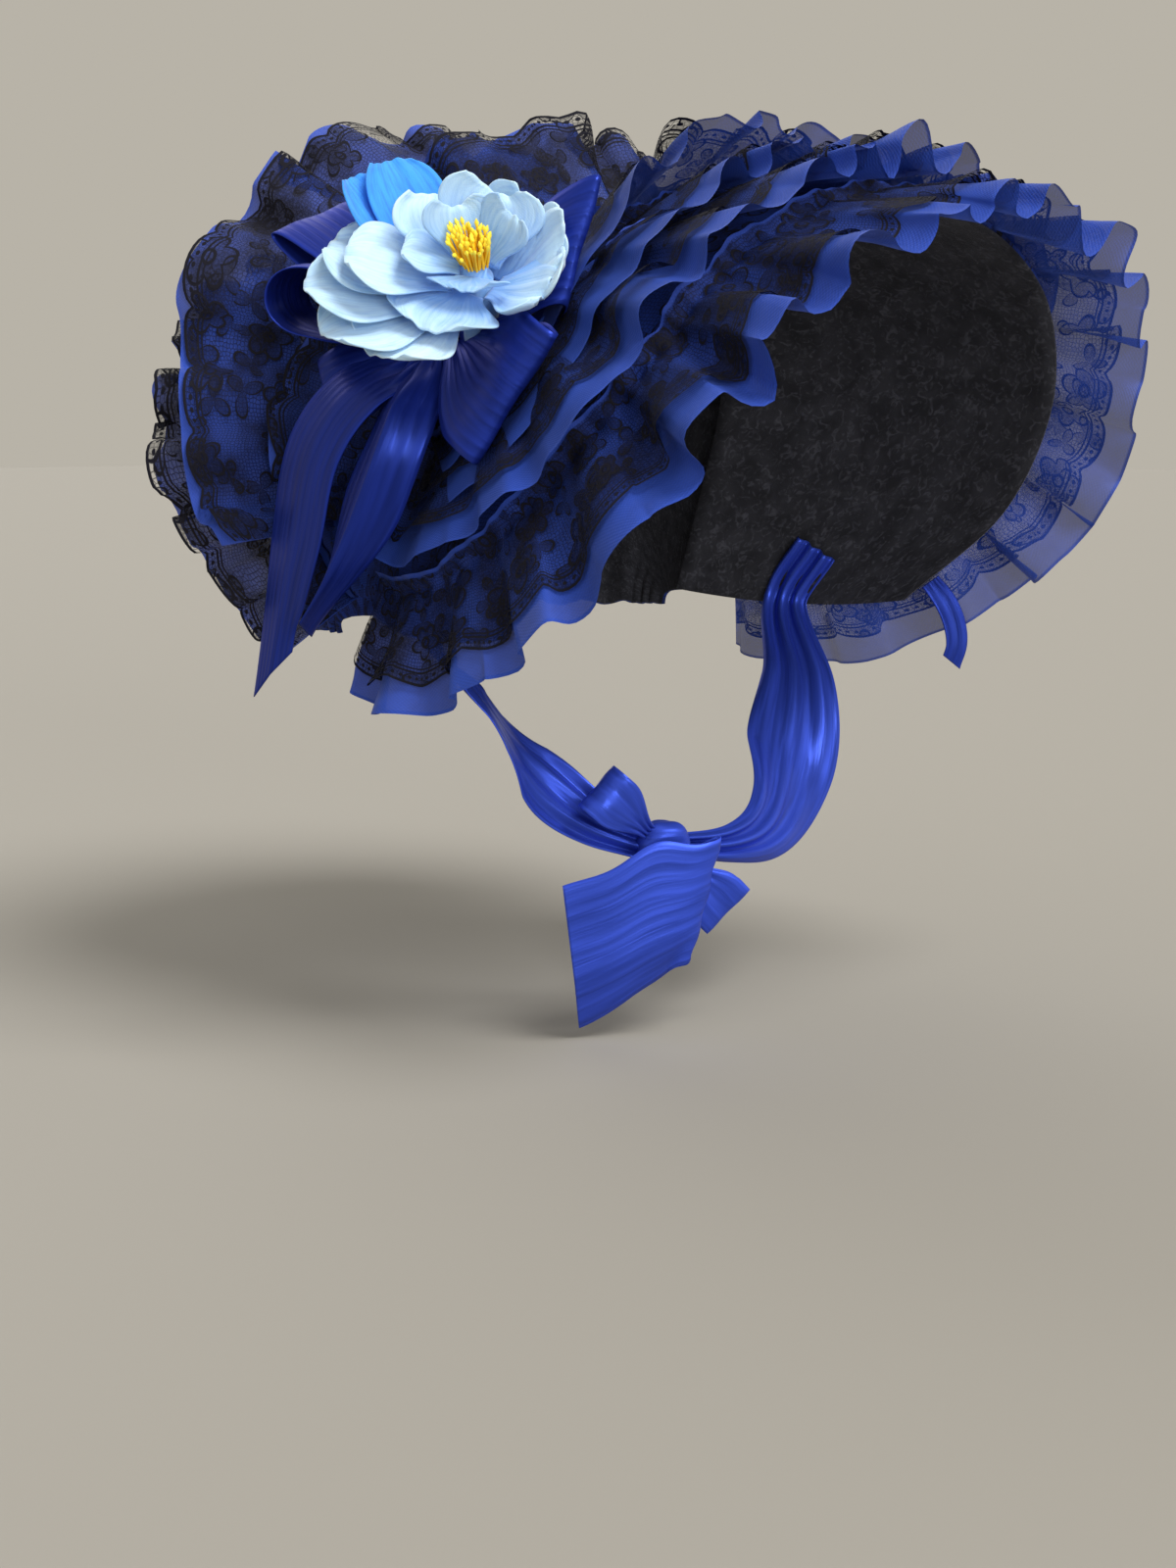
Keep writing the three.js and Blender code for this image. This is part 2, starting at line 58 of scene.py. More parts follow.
# node helpers
def addNode(tree, kind, inputs=None, **settings):
    node = tree.nodes.new(kind)
    for key, value in settings.items():
        setattr(node, key, value)
    for key, value in (inputs or {}).items():
        if isinstance(value, bpy.types.NodeSocket):
            tree.links.new(value, node.inputs[key])
        else:
            node.inputs[key].default_value = value
    return node


def calc(tree, operation, a, b=0.0, c=0.0):
    return addNode(tree, "ShaderNodeMath", {0: a, 1: b, 2: c}, operation=operation).outputs[0]


def fade(tree, value, low, high, start=0.0, end=1.0):  # smooth ramp between two values
    inputs = {"Value": value, "From Min": low, "From Max": high, "To Min": start, "To Max": end}
    return addNode(tree, "ShaderNodeMapRange", inputs, interpolation_type="SMOOTHSTEP").outputs["Result"]


def noise(tree, place, scale, detail, distortion=0.0):
    inputs = {"Vector": place, "Scale": scale, "Detail": detail, "Distortion": distortion}
    return addNode(tree, "ShaderNodeTexNoise", inputs).outputs[0]


def blendColour(tree, share, a, b):  # the mix node's own colour sockets
    return addNode(tree, "ShaderNodeMix", {0: share, 6: a, 7: b}, data_type="RGBA").outputs[2]


def newGroup(name, setting, outputs):  # each group reads the cloth coordinates and one setting
    group = bpy.data.node_groups.new(name, "ShaderNodeTree")
    group.interface.new_socket("Cloth", in_out="INPUT", socket_type="NodeSocketVector")
    group.interface.new_socket(setting, in_out="INPUT", socket_type="NodeSocketFloat")
    for label in outputs:
        group.interface.new_socket(label, in_out="OUTPUT", socket_type="NodeSocketFloat")
    into, out = group.nodes.new("NodeGroupInput"), group.nodes.new("NodeGroupOutput")
    return group, into, out, lambda *sums: calc(group, *sums)


def addObject(name, data):
    obj = bpy.data.objects.new(name, data)
    scene.collection.objects.link(obj)
    return obj


# camera and lamps
shot = {
    "azimuth": -48, "elevation": 9, "distance": 0.95, "target": (-0.0154, 0.0171, -0.225),
    "lens": 51.3, "sensor": 36, "near": 0.01,
}


def makeCamera():
    turn, rise = math.radians(shot["azimuth"]), math.radians(shot["elevation"])
    back = Vector((math.sin(turn) * math.cos(rise), -math.cos(turn) * math.cos(rise), math.sin(rise)))
    cam = addObject("camera", bpy.data.cameras.new("camera"))
    cam.data.lens = shot["lens"]
    cam.data.sensor_width = shot["sensor"]
    cam.data.clip_start = shot["near"]
    cam.location = Vector(shot["target"]) + back * shot["distance"]
    cam.rotation_mode = "QUATERNION"
    cam.rotation_quaternion = (-back).to_track_quat("-Z", "Y")
    scene.camera = cam


makeCamera()

lamps = {
    "key": {"from": (0.0, -0.76, 1.1), "spread": 30, "strength": 3.0, "tint": (1, 0.98, 0.95)},
    "fill": {"from": (-1.2, -0.2, 0.5), "spread": 70, "strength": 0.35, "tint": (0.97, 0.98, 1)},
    "back": {"from": (0.5, 1.0, 0.8), "spread": 50, "strength": 0.7, "tint": (1, 1, 1)},
    "front": {"from": (-0.5, -1.1, 0.1), "spread": 30, "strength": 1.6, "tint": (1, 0.98, 0.95)},
}
roomColour = (0.48, 0.45, 0.39, 1)  # pale backdrop, which the floor matches


def makeLamps():
    for name, lamp in lamps.items():
        light = bpy.data.lights.new(name, "SUN")
        light.angle = math.radians(lamp["spread"])
        light.energy = lamp["strength"]
        light.color = lamp["tint"]
        obj = addObject(name, light)
        obj.location = lamp["from"]
        obj.rotation_euler = (-Vector(lamp["from"])).to_track_quat("-Z", "Y").to_euler()
    world = bpy.data.worlds.new("room")
    world.use_nodes = True
    world.node_tree.nodes["Background"].inputs["Color"].default_value = roomColour
    scene.world = world


makeLamps()

# over-and-under threads: a height and a shade that varies a little from thread to thread
weaveLook = {"slub": 9.0, "cloud": 0.9, "relief": 0.5, "contrast": 0.09}


def makeWeave():
    group, into, out, do = newGroup("weave", "Threads", ("Height", "Shade"))
    cloth = into.outputs["Cloth"]
    inputs = {0: cloth, "Scale": into.outputs["Threads"]}
    scaled = addNode(group, "ShaderNodeVectorMath", inputs, operation="SCALE")
    split = addNode(group, "ShaderNodeSeparateXYZ", {0: scaled.outputs[0]})
    warp = do("SINE", do("MULTIPLY", split.outputs[0], 2 * math.pi))
    weft = do("SINE", do("MULTIPLY", split.outputs[1], 2 * math.pi))
    cross = do("MULTIPLY", warp, weft)
    slub = noise(group, cloth, weaveLook["slub"], 3.0)
    height = do("MULTIPLY_ADD", cross, weaveLook["relief"], slub)
    group.links.new(height, out.inputs["Height"])
    cloud = fade(group, noise(group, cloth, weaveLook["cloud"], 4.0), 0.25, 0.75, 0.86, 1.1)
    shade = do("MULTIPLY_ADD", cross, weaveLook["contrast"], cloud)
    group.links.new(shade, out.inputs["Shade"])
    return group


# black lace: a fine net, flowers and leaf sprays outlined in cord, and a corded edge with dots
lacePattern = {
    "net": 6.5, "netRandom": 0.55, "flowerScale": 0.34, "leafScale": 0.55, "patchScale": 0.42, "grain": 9.0,
    "dotStep": 0.34, "dotRow": 0.34, "cords": ((0.06, 0.1), (0.6, 0.07), (0.78, 0.05)),
}
fullTurn = 6.28


def makeLace():
    group, into, out, do = newGroup("laceThreads", "Hem", ("Thread", "Height"))
    cloth, hem = into.outputs["Cloth"], into.outputs["Hem"]
    p = lacePattern

    def cells(place, scale, randomness, feature):
        inputs = {"Vector": place, "Scale": scale, "Randomness": randomness}
        node = addNode(group, "ShaderNodeTexVoronoi", inputs, voronoi_dimensions="2D", feature=feature)
        return node.outputs

    def motif(scale, randomness, shift):
        moved = addNode(group, "ShaderNodeVectorMath", {0: cloth, 1: shift}, operation="ADD").outputs[0]
        cell = cells(moved, scale, randomness, "F1")
        ends = {0: moved, 1: cell["Position"]}
        local = addNode(group, "ShaderNodeVectorMath", ends, operation="SUBTRACT").outputs[0]
        split = addNode(group, "ShaderNodeSeparateXYZ", {0: local})
        away = addNode(group, "ShaderNodeVectorMath", {0: local}, operation="LENGTH").outputs["Value"]
        luck = addNode(group, "ShaderNodeSeparateColor", {0: cell["Color"]})
        angle = do("ARCTAN2", split.outputs[1], split.outputs[0])
        return away, do("MULTIPLY_ADD", luck.outputs[0], fullTurn, angle), luck.outputs[1]

    def corded(value, at, half):
        off = do("ABSOLUTE", do("SUBTRACT", value, at))
        return fade(group, off, half * 0.5, half, 1, 0)

    net = cells(cloth, p["net"], p["netRandom"], "DISTANCE_TO_EDGE")
    netThread = fade(group, net["Distance"], 0.06, 0.14, 1, 0)

    # flowers: an outline in cord, a denser filling, a small ring at the heart
    away, angle, luck = motif(p["flowerScale"], 0.6, (0.0, 0.0, 0.0))
    size = do("MULTIPLY_ADD", luck, 0.35, 0.7)
    lobe = do("ABSOLUTE", do("COSINE", do("MULTIPLY", angle, 2.5)))
    rim = do("MULTIPLY", size, do("MULTIPLY_ADD", lobe, 0.45, 0.65))
    filled = fade(group, do("SUBTRACT", rim, away), 0.0, 0.05)
    flowerCord = do("MAXIMUM", corded(away, rim, 0.09), corded(away, 0.22, 0.09))

    # leaf sprays fill the ground between the flowers
    away, angle, luck = motif(p["leafScale"], 1.0, (3.7, 1.9, 0.0))
    leaf = do("ABSOLUTE", do("COSINE", do("MULTIPLY", angle, 1.5)))
    leafSize = do("MULTIPLY_ADD", luck, 0.4, 0.6)
    leafRim = do("MULTIPLY", do("POWER", leaf, 1.6), leafSize)
    spray = fade(group, do("SUBTRACT", leafRim, away), 0.0, 0.05)
    leafCord = do("MULTIPLY", corded(away, leafRim, 0.08), fade(group, away, 0.05, 0.12))

    # the edge: cords with a row of dots between them
    split = addNode(group, "ShaderNodeSeparateXYZ", {0: cloth})
    step = p["dotStep"]
    place = do("SUBTRACT", do("FRACT", do("DIVIDE", split.outputs[0], step)), 0.5)
    across = do("MULTIPLY", place, step)
    down = do("SUBTRACT", hem, p["dotRow"])
    squares = do("ADD", do("POWER", across, 2.0), do("POWER", down, 2.0))
    edge = fade(group, do("SQRT", squares), 0.07, 0.1, 1, 0)
    for at, half in p["cords"]:
        edge = do("MAXIMUM", edge, corded(hem, at, half))

    # threads too fine to draw are a haze, thicker in some patches and inside the motifs
    patch = fade(group, noise(group, cloth, p["patchScale"], 2.0), 0.38, 0.66, 0.08, 0.55)
    grain = fade(group, noise(group, cloth, p["grain"], 2.0), 0.35, 0.65, 0.6, 1.4)
    haze = do("MULTIPLY", patch, grain)
    dense = do("MULTIPLY", do("MAXIMUM", filled, spray), 0.3)
    thread = do("MAXIMUM", do("ADD", haze, dense), do("MULTIPLY", netThread, 0.75))
    cords = do("MAXIMUM", do("MAXIMUM", flowerCord, leafCord), edge)
    thread = do("MINIMUM", do("MAXIMUM", thread, cords), 1.0)
    group.links.new(thread, out.inputs["Thread"])
    group.links.new(do("MULTIPLY_ADD", cords, 0.7, dense), out.inputs["Height"])
    return group


# streaks that run along a ribbon, and finer ribs
streakLook = {"pull": (0.16, 2.6, 1), "scale": 1.3, "wander": 1.2, "relief": 0.25, "contrast": 0.05}


def makeStreaks():
    group, into, out, do = newGroup("streaks", "Ribs", ("Height", "Shade"))
    cloth = into.outputs["Cloth"]
    pulled = addNode(group, "ShaderNodeMapping", {"Vector": cloth, "Scale": streakLook["pull"]})
    broad = noise(group, pulled.outputs[0], streakLook["scale"], 5.0)
    split = addNode(group, "ShaderNodeSeparateXYZ", {0: cloth})
    even = do("MULTIPLY", split.outputs[1], into.outputs["Ribs"])
    wander = do("MULTIPLY_ADD", broad, streakLook["wander"], even)
    rib = do("SINE", do("MULTIPLY", wander, fullTurn))
    height = do("MULTIPLY_ADD", rib, streakLook["relief"], broad)
    group.links.new(height, out.inputs["Height"])
    streak = fade(group, broad, 0.3, 0.7, 0.78, 1.18)
    group.links.new(do("MULTIPLY_ADD", rib, streakLook["contrast"], streak), out.inputs["Shade"])
    return group


weaveGroup = makeWeave()
laceGroup = makeLace()
streakGroup = makeStreaks()


def startMaterial(name, sockets):
    material = bpy.data.materials.new(name)
    material.use_nodes = True
    tree = material.node_tree
    shader = tree.nodes["Principled BSDF"]
    for label, value in sockets.items():
        shader.inputs[label].default_value = value
    cloth = addNode(tree, "ShaderNodeUVMap", uv_map="cloth").outputs[0]
    return material, tree, shader, cloth


def useGroup(tree, group, inputs):
    return addNode(tree, "ShaderNodeGroup", inputs, node_tree=group).outputs


def addBump(tree, shader, height, strength, distance):
    bump = addNode(tree, "ShaderNodeBump", {"Height": height, "Strength": strength, "Distance": distance})
    tree.links.new(bump.outputs[0], shader.inputs["Normal"])


def attribute(tree, name):
    return addNode(tree, "ShaderNodeAttribute", attribute_name=name).outputs["Fac"]


def tinted(tree, shade, colour):  # a colour made lighter or darker by a shade
    return addNode(tree, "ShaderNodeVectorMath", {0: colour, "Scale": shade}, operation="SCALE").outputs[0]


chiffonLook = {"colour": (0.019, 0.059, 0.385), "sheer": 0.81, "doubled": 0.92, "hem": 0.95, "threads": 7.0}


def makeChiffon(name, sheer):
    material, tree, shader, cloth = startMaterial(name, {
        "Roughness": 0.62, "Specular IOR Level": 0.25, "Sheen Weight": 0.1, "Sheen Tint": (0.3, 0.45, 1, 1),
    })
    weave = useGroup(tree, weaveGroup, {"Cloth": cloth, "Threads": chiffonLook["threads"]})
    tree.links.new(tinted(tree, weave["Shade"], chiffonLook["colour"]), shader.inputs["Base Color"])
    rolled = fade(tree, attribute(tree, "hem"), 0.08, 0.18, chiffonLook["hem"], sheer)
    layered = calc(tree, "ADD", rolled, attribute(tree, "tone"))  # denser where folds lie close
    tree.links.new(calc(tree, "MINIMUM", layered, 1.0), shader.inputs["Alpha"])
    addBump(tree, shader, weave["Height"], 0.25, 0.0006)
    return material


laceLook = {"colour": (0.006, 0.006, 0.012, 1), "under": 0.8, "bump": 0.5, "relief": 0.0008}


def startLace(name, sockets):
    material, tree, shader, cloth = startMaterial(name, sockets)
    lace = useGroup(tree, laceGroup, {"Cloth": cloth, "Hem": attribute(tree, "hem")})
    addBump(tree, shader, lace["Height"], laceLook["bump"], laceLook["relief"])
    return material, tree, shader, lace["Thread"]


def makeLaceCloth():
    sockets = {"Roughness": 0.8, "Specular IOR Level": 0.15, "Base Color": laceLook["colour"]}
    material, tree, shader, thread = startLace("blackLace", sockets)
    tree.links.new(thread, shader.inputs["Alpha"])
    return material


def makeLacedCloth():  # lace laid flat on solid cloth
    material, tree, shader, thread = startLace("lacedCloth", {"Roughness": 0.7, "Specular IOR Level": 0.2})
    blue = tuple(c * laceLook["under"] for c in chiffonLook["colour"]) + (1,)
    tree.links.new(blendColour(tree, thread, blue, laceLook["colour"]), shader.inputs["Base Color"])
    return material


velvetLook = {"colour": (0.033, 0.034, 0.043), "pile": 0.8, "crush": 2.6, "fur": 26.0}


def makeVelvet():
    material, tree, shader, cloth = startMaterial("blackVelvet", {
        "Roughness": 0.95, "Specular IOR Level": 0.1,
        "Sheen Weight": 0.35, "Sheen Roughness": 0.35, "Sheen Tint": (0.35, 0.36, 0.42, 1),
    })
    pile = fade(tree, noise(tree, cloth, velvetLook["pile"], 4.0, 0.4), 0.3, 0.75, 0.6, 1.1)
    crush = fade(tree, noise(tree, cloth, velvetLook["crush"], 6.0, 1.4), 0.48, 0.74, 0, 1.1)
    shade = calc(tree, "ADD", pile, crush)
    tree.links.new(tinted(tree, shade, velvetLook["colour"]), shader.inputs["Base Color"])
    addBump(tree, shader, noise(tree, cloth, velvetLook["fur"], 2.0), 0.35, 0.0008)
    return material


# the selvage value paints a highlight: the ribbon's edges are made lighter in colour
satinLook = {"rough": 0.36, "smoother": 0.08, "rougher": 0.1, "selvageHighlight": 1.35}


def makeSatin(name, colour, ribs):
    rough = satinLook["rough"]
    material, tree, shader, cloth = startMaterial(name, {
        "Roughness": rough, "Metallic": 0.35, "Anisotropic": 0.4,
        "Specular IOR Level": 0.5, "Specular Tint": (0.2, 0.34, 1, 1),
    })
    streaks = useGroup(tree, streakGroup, {"Cloth": cloth, "Ribs": ribs})
    # painted highlight: the colour is lighter within two millimetres of the ribbon's edges
    edge = fade(tree, attribute(tree, "hem"), 0.1, 0.18, satinLook["selvageHighlight"], 1.0)
    shade = calc(tree, "MULTIPLY", streaks["Shade"], edge)
    tree.links.new(tinted(tree, shade, colour), shader.inputs["Base Color"])
    low, high = rough - satinLook["smoother"], rough + satinLook["rougher"]
    tree.links.new(fade(tree, streaks["Height"], 0.2, 0.9, low, high), shader.inputs["Roughness"])
    addBump(tree, shader, streaks["Height"], 0.22, 0.0007)
    return material


# petal colouring: veins and blotches of dye, and a darkening to the root that is partly dye and partly
# painted shade
petalDyeAndShade = {"root": 0.75, "blotch": 0.25, "threads": 9.0, "fan": (3.2, 0.35, 1)}


def makePetalCloth(name, pale, deep, vein):
    material, tree, shader, cloth = startMaterial(name, {
        "Roughness": 0.72, "Sheen Weight": 0.25,
        "Subsurface Weight": 0.15, "Subsurface Scale": 0.002, "Subsurface Radius": (0.6, 0.8, 1),
    })
    split = addNode(tree, "ShaderNodeSeparateXYZ", {0: cloth})
    fan = addNode(tree, "ShaderNodeMapping", {"Vector": cloth, "Scale": petalDyeAndShade["fan"]})
    streak = noise(tree, fan.outputs[0], 2.2, 4.0)
    blotch = fade(tree, noise(tree, cloth, 0.8, 3.0), 0.45, 0.75)
    rootDyeAndShade = fade(tree, split.outputs[1], 0.2, 2.6, 1, 0)  # darker to the root: partly deeper dye, partly painted shade where the petals overlap
    root = calc(tree, "MULTIPLY", rootDyeAndShade, petalDyeAndShade["root"])
    dyeAndShade = calc(tree, "MULTIPLY_ADD", fade(tree, streak, 0.35, 0.75), vein, root)
    dyeAndShade = calc(tree, "ADD", dyeAndShade, calc(tree, "MULTIPLY", blotch, petalDyeAndShade["blotch"]))
    dyeAndShade = calc(tree, "MINIMUM", calc(tree, "ADD", dyeAndShade, attribute(tree, "tone")), 1.0)
    tree.links.new(blendColour(tree, dyeAndShade, pale, deep), shader.inputs["Base Color"])
    weave = useGroup(tree, weaveGroup, {"Cloth": cloth, "Threads": petalDyeAndShade["threads"]})
    crease = calc(tree, "MULTIPLY_ADD", streak, 1.5, calc(tree, "MULTIPLY", weave["Height"], 0.2))
    addBump(tree, shader, crease, 0.3, 0.0007)
    return material


stamenLook = {"stalk": (0.9, 0.5, 0.0, 1), "head": (1.0, 0.8, 0.05, 1)}


def makeStamenThread():
    material, tree, shader, cloth = startMaterial("stamenThread", {"Roughness": 0.5})
    split = addNode(tree, "ShaderNodeSeparateXYZ", {0: cloth})
    upper = fade(tree, split.outputs[1], 0.55, 0.95)
    colour = blendColour(tree, upper, stamenLook["stalk"], stamenLook["head"])
    tree.links.new(colour, shader.inputs["Base Color"])
    return material


chiffon = makeChiffon("blueChiffon", chiffonLook["sheer"])
chiffonDoubled = makeChiffon("blueChiffonDoubled", chiffonLook["doubled"])
lacedCloth = makeLacedCloth()
blackLace = makeLaceCloth()
velvet = makeVelvet()
violetSatin = makeSatin("violetSatin", colour=(0.011, 0.025, 0.23), ribs=2.4)
blueSatin = makeSatin("royalSatin", colour=(0.034, 0.07, 0.5), ribs=1.6)
petalCloth = makePetalCloth("paleBlueCloth", pale=(0.54, 0.76, 0.95, 1), deep=(0.15, 0.35, 0.74, 1), vein=0.3)
azureCloth = makePetalCloth("azureCloth", pale=(0.03, 0.32, 0.9, 1), deep=(0.01, 0.12, 0.62, 1), vein=0.6)
stamenThread = makeStamenThread()
print("finishes made")


# surface helpers, in millimetres as the solids are
def lerp(a, b, share):
    return a + (b - a) * share


def ease(x, low, high):
    share = np.clip((x - low) / (high - low), 0, 1)
    return share * share * (3 - 2 * share)


def unit(a):
    return a / np.maximum(np.linalg.norm(a, axis=-1, keepdims=True), 1e-9)


def distances(points):  # along a line of points, from its first
    return np.concatenate([[0], np.cumsum(np.linalg.norm(np.diff(points, axis=0), axis=1))])


def smoothCurve(points):  # runs through every point
    p = np.array(points, float)
    p = np.vstack([2 * p[0] - p[1], p, 2 * p[-1] - p[-2]])

    def at(share):
        t = np.clip(np.asarray(share, float), 0, 1) * (len(p) - 3)
        i = np.minimum(t.astype(int), len(p) - 4)
        w = (t - i)[..., None]
        a, b, c, d = p[i], p[i + 1], p[i + 2], p[i + 3]
        gap = [np.linalg.norm(y - x, axis=-1, keepdims=True) ** 0.5 for x, y in ((a, b), (b, c), (c, d))]
        leave = ((b - a) / gap[0] - (c - a) / (gap[0] + gap[1]) + (c - b) / gap[1]) * gap[1]
        arrive = ((c - b) / gap[1] - (d - b) / (gap[1] + gap[2]) + (d - c) / gap[2]) * gap[1]
        return b + w * (leave + w * (3 * (c - b) - 2 * leave - arrive + w * (2 * (b - c) + leave + arrive)))

    return at


def evenCurve(points):  # the same curve, with even spacing along it
    at = smoothCurve(points)
    steps = np.linspace(0, 1, 600)
    run = distances(at(steps))
    return lambda share: at(np.interp(np.clip(share, 0, 1), run / run[-1], steps)), run[-1]


def facingFrame(origin, facing):
    z = unit(np.array(facing, float))
    x = unit(np.cross((0, 0, 1), z))
    return {"origin": np.array(origin, float), "axes": np.array([x, np.cross(z, x), z])}


def placed(place, points):
    return place["origin"] + points @ place["axes"]


def normalOf(surface, u, v, step=1e-3):
    along = surface(u + step, v) - surface(u - step, v)
    across = surface(u, v + step) - surface(u, v - step)
    return unit(np.cross(along, across))


noHem = 9.0  # centimetres: cloth with no edge to show


def bakeMesh(name, bm, material):
    for face in bm.faces:
        face.smooth = True
    mesh = bpy.data.meshes.new(name)
    bm.to_mesh(mesh)
    bm.free()
    mesh.materials.append(material)
    return mesh


def writeValues(mesh, label, values):
    data = mesh.attributes.new(label, "FLOAT", "POINT").data
    data.foreach_set("value", np.broadcast_to(values, len(mesh.vertices)).astype(np.float32))


def sheetPiece(name, columns, rows, surface, clothSize, material, thickness=0.0, hem=None, tone=None):
    bm = bmesh.new()
    bmesh.ops.create_grid(bm, x_segments=columns, y_segments=rows, size=0.5)
    uv = np.array([v.co[:2] for v in bm.verts]) + 0.5
    points = surface(uv[:, 0], uv[:, 1]) * 0.001
    for vert, point in zip(bm.verts, points):
        vert.co = point
    layer = bm.loops.layers.uv.new("cloth")
    flat = uv * np.array(clothSize) / 10  # cloth coordinates in centimetres
    for face in bm.faces:
        for loop in face.loops:
            loop[layer].uv = flat[loop.vert.index]
    mesh = bakeMesh(name, bm, material)
    for label, values in (("hem", hem), ("tone", tone)):
        if values is not None:
            writeValues(mesh, label, values(uv[:, 0], uv[:, 1]))
    obj = addObject(name, mesh)
    if thickness:
        wall = obj.modifiers.new("wall", "SOLIDIFY")
        wall.thickness = thickness * 0.001
        wall.offset = 0
    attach(obj, "root")
    return obj


def declare(nodes, flat):
    if nodes:
        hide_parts(*nodes)
    flat = tuple(round(side / 1000, 4) for side in flat)


# the arch: wearer's left half from the top down to the jaw
headCentre = np.array((0, 20, -90.0))
arch = {
    "seam": [(0, 0, 1), (42, 3, -5), (75, 12, -27), (94, 28, -64), (100, 45, -108), (98, 58, -150)],
    "rim": [
        (0, -146, 4), (48, -144, -5), (90, -138, -28), (118, -124, -66), (134, -92, -112), (131, -44, -152),
    ],
}
wall = {"brim": 2.0, "lining": 1.2, "crown": 1.6, "ruffle": 1.2, "gap": 0.5}


def bothSides(half):
    return [(-x, y, z) for x, y, z in half[:0:-1]] + list(half)


seamCurve, rimCurve = smoothCurve(bothSides(arch["seam"])), smoothCurve(bothSides(arch["rim"]))
brimShape = {"bulge": 9, "cloth": (470, 145), "flat": (540, 170), "edge": 0.985, "tuck": -0.03}


def brimPoint(along, out):
    share = (np.clip(along, -1, 1) + 1) / 2
    out = np.asarray(out, float)[..., None]
    p = lerp(seamCurve(share), rimCurve(share), out)
    outward = unit(p * (1, 0, 1) + (0, 0, -headCentre[2]))
    return p + outward * (4 * brimShape["bulge"] * out * (1 - out))


crownShape = {
    "halfWidth": 102, "frontY": 74, "depth": 66, "height": -158, "cloth": (620, 250), "flat": (640, 270),
    "pull": 0.52, "puff": 0.15, "pleats": 12, "pleatDepth": 3, "pleatStart": 0.56, "fine": 0.9,
}


def crownPoint(along, back):
    c = crownShape
    along = np.clip(along, -1, 1)
    sweep = (along + 1) / 2 * math.pi
    start = seamCurve((along + 1) / 2)
    level = np.full_like(sweep, c["height"])
    end = np.stack([-c["halfWidth"] * np.cos(sweep), c["frontY"] + c["depth"] * np.sin(sweep), level], -1)
    span = np.linalg.norm(end - start, axis=-1)
    pull = (c["pull"] * span)[..., None]
    rear, above = start + pull * (0, 1, 0), end + pull * (0, 0, 1)
    t = np.asarray(back, float)[..., None]
    p = (1 - t) ** 3 * start + 3 * t * (1 - t) ** 2 * rear + 3 * t * t * (1 - t) * above + t**3 * end
    gather = c["pleatDepth"] * ease(back, c["pleatStart"], 0.9) * ease(span, 20, 120)
    swell = c["puff"] * span * np.sin(math.pi * back) + gather * np.sin(math.pi * c["pleats"] * (along + 1))
    return p + unit(p - headCentre) * swell[..., None]


def outwardAt(host, along, across, step=2e-3):
    run = host(np.clip(along + step, -1, 1), across) - host(np.clip(along - step, -1, 1), across)
    rise = host(along, np.minimum(across + step, 1)) - host(along, np.minimum(across, 1 - step) - step)
    normal = unit(np.cross(run, rise))
    side = np.sum(normal * (host(along, across) - headCentre), axis=-1, keepdims=True)
    return np.where(side < 0, -normal, normal)


def hostSheet(host, offset, extra=None, first=0.004, last=1.0):
    def surface(u, v):
        along, across = lerp(-1, 1, np.clip(u, 0, 1)), lerp(first, last, np.clip(v, 0, 1))
        lift = offset if extra is None else offset + extra(u, v)[..., None]
        return host(along, across) + outwardAt(host, along, across) * lift

    return surface


def fineGathers(u, v):  # near the seam and at the nape
    strength = ease(v, 0.55, 0.95) + 1 - ease(v, 0.03, 0.2)
    return crownShape["fine"] * np.sin(190 * u + 3 * np.sin(40 * u)) * strength


def makeBody():
    plain = lambda u, v: noHem
    outer = hostSheet(brimPoint, 0, last=brimShape["edge"])
    brim = sheetPiece("brimCloth", 120, 20, outer, brimShape["cloth"], lacedCloth, wall["brim"], plain)
    declare(["brim"], brimShape["flat"])
    drop = -(wall["brim"] + wall["lining"]) / 2 - wall["gap"]
    inner = hostSheet(brimPoint, drop, first=brimShape["tuck"])
    lining = sheetPiece("brimVelvet", 120, 24, inner, brimShape["cloth"], velvet, wall["lining"])
    declare(["brim_lining"], brimShape["flat"])
    puff = hostSheet(crownPoint, 0, fineGathers)
    crown = sheetPiece("crownCloth", 300, 48, puff, crownShape["cloth"], lacedCloth, wall["crown"], plain)
    crown.data.materials.append(velvet)  # dark reverse
    crown.modifiers["wall"].material_offset = 1
    declare(["crown"], crownShape["flat"])


makeBody()
print("brim, lining and crown made")

# tiers of ruffles: place and wrap set the sewn line, lift and droop the slant, waves and depth the folds
frontTiers = [
    {"name": "ruffle_rim", "place": 0.86, "end": 0.93, "wrap": 81, "length": 58, "lift": 13, "topLift": 5,
     "droop": 6, "waves": 19, "depth": 9, "press": 0, "lace": 0.79, "layered": 0.16},
    {"name": "ruffle_front_2", "place": 0.5, "end": 0.7, "wrap": 72, "length": 65, "lift": 24, "topLift": 14,
     "droop": 12, "waves": 16, "depth": 8.5, "press": 0.5, "lace": 0.82},
    {"name": "ruffle_front_3", "place": 0.32, "end": 0.7, "wrap": 62, "length": 60, "lift": 31, "topLift": 15,
     "droop": 12, "waves": 13, "depth": 8, "press": 0.84, "lace": 0.82},
    {"name": "ruffle_front_4", "place": 0.17, "end": 0.76, "wrap": 48, "length": 56, "lift": 40,
     "topLift": 34, "droop": 16, "waves": 11, "depth": 7, "press": 0.96, "lace": 0.86},
]
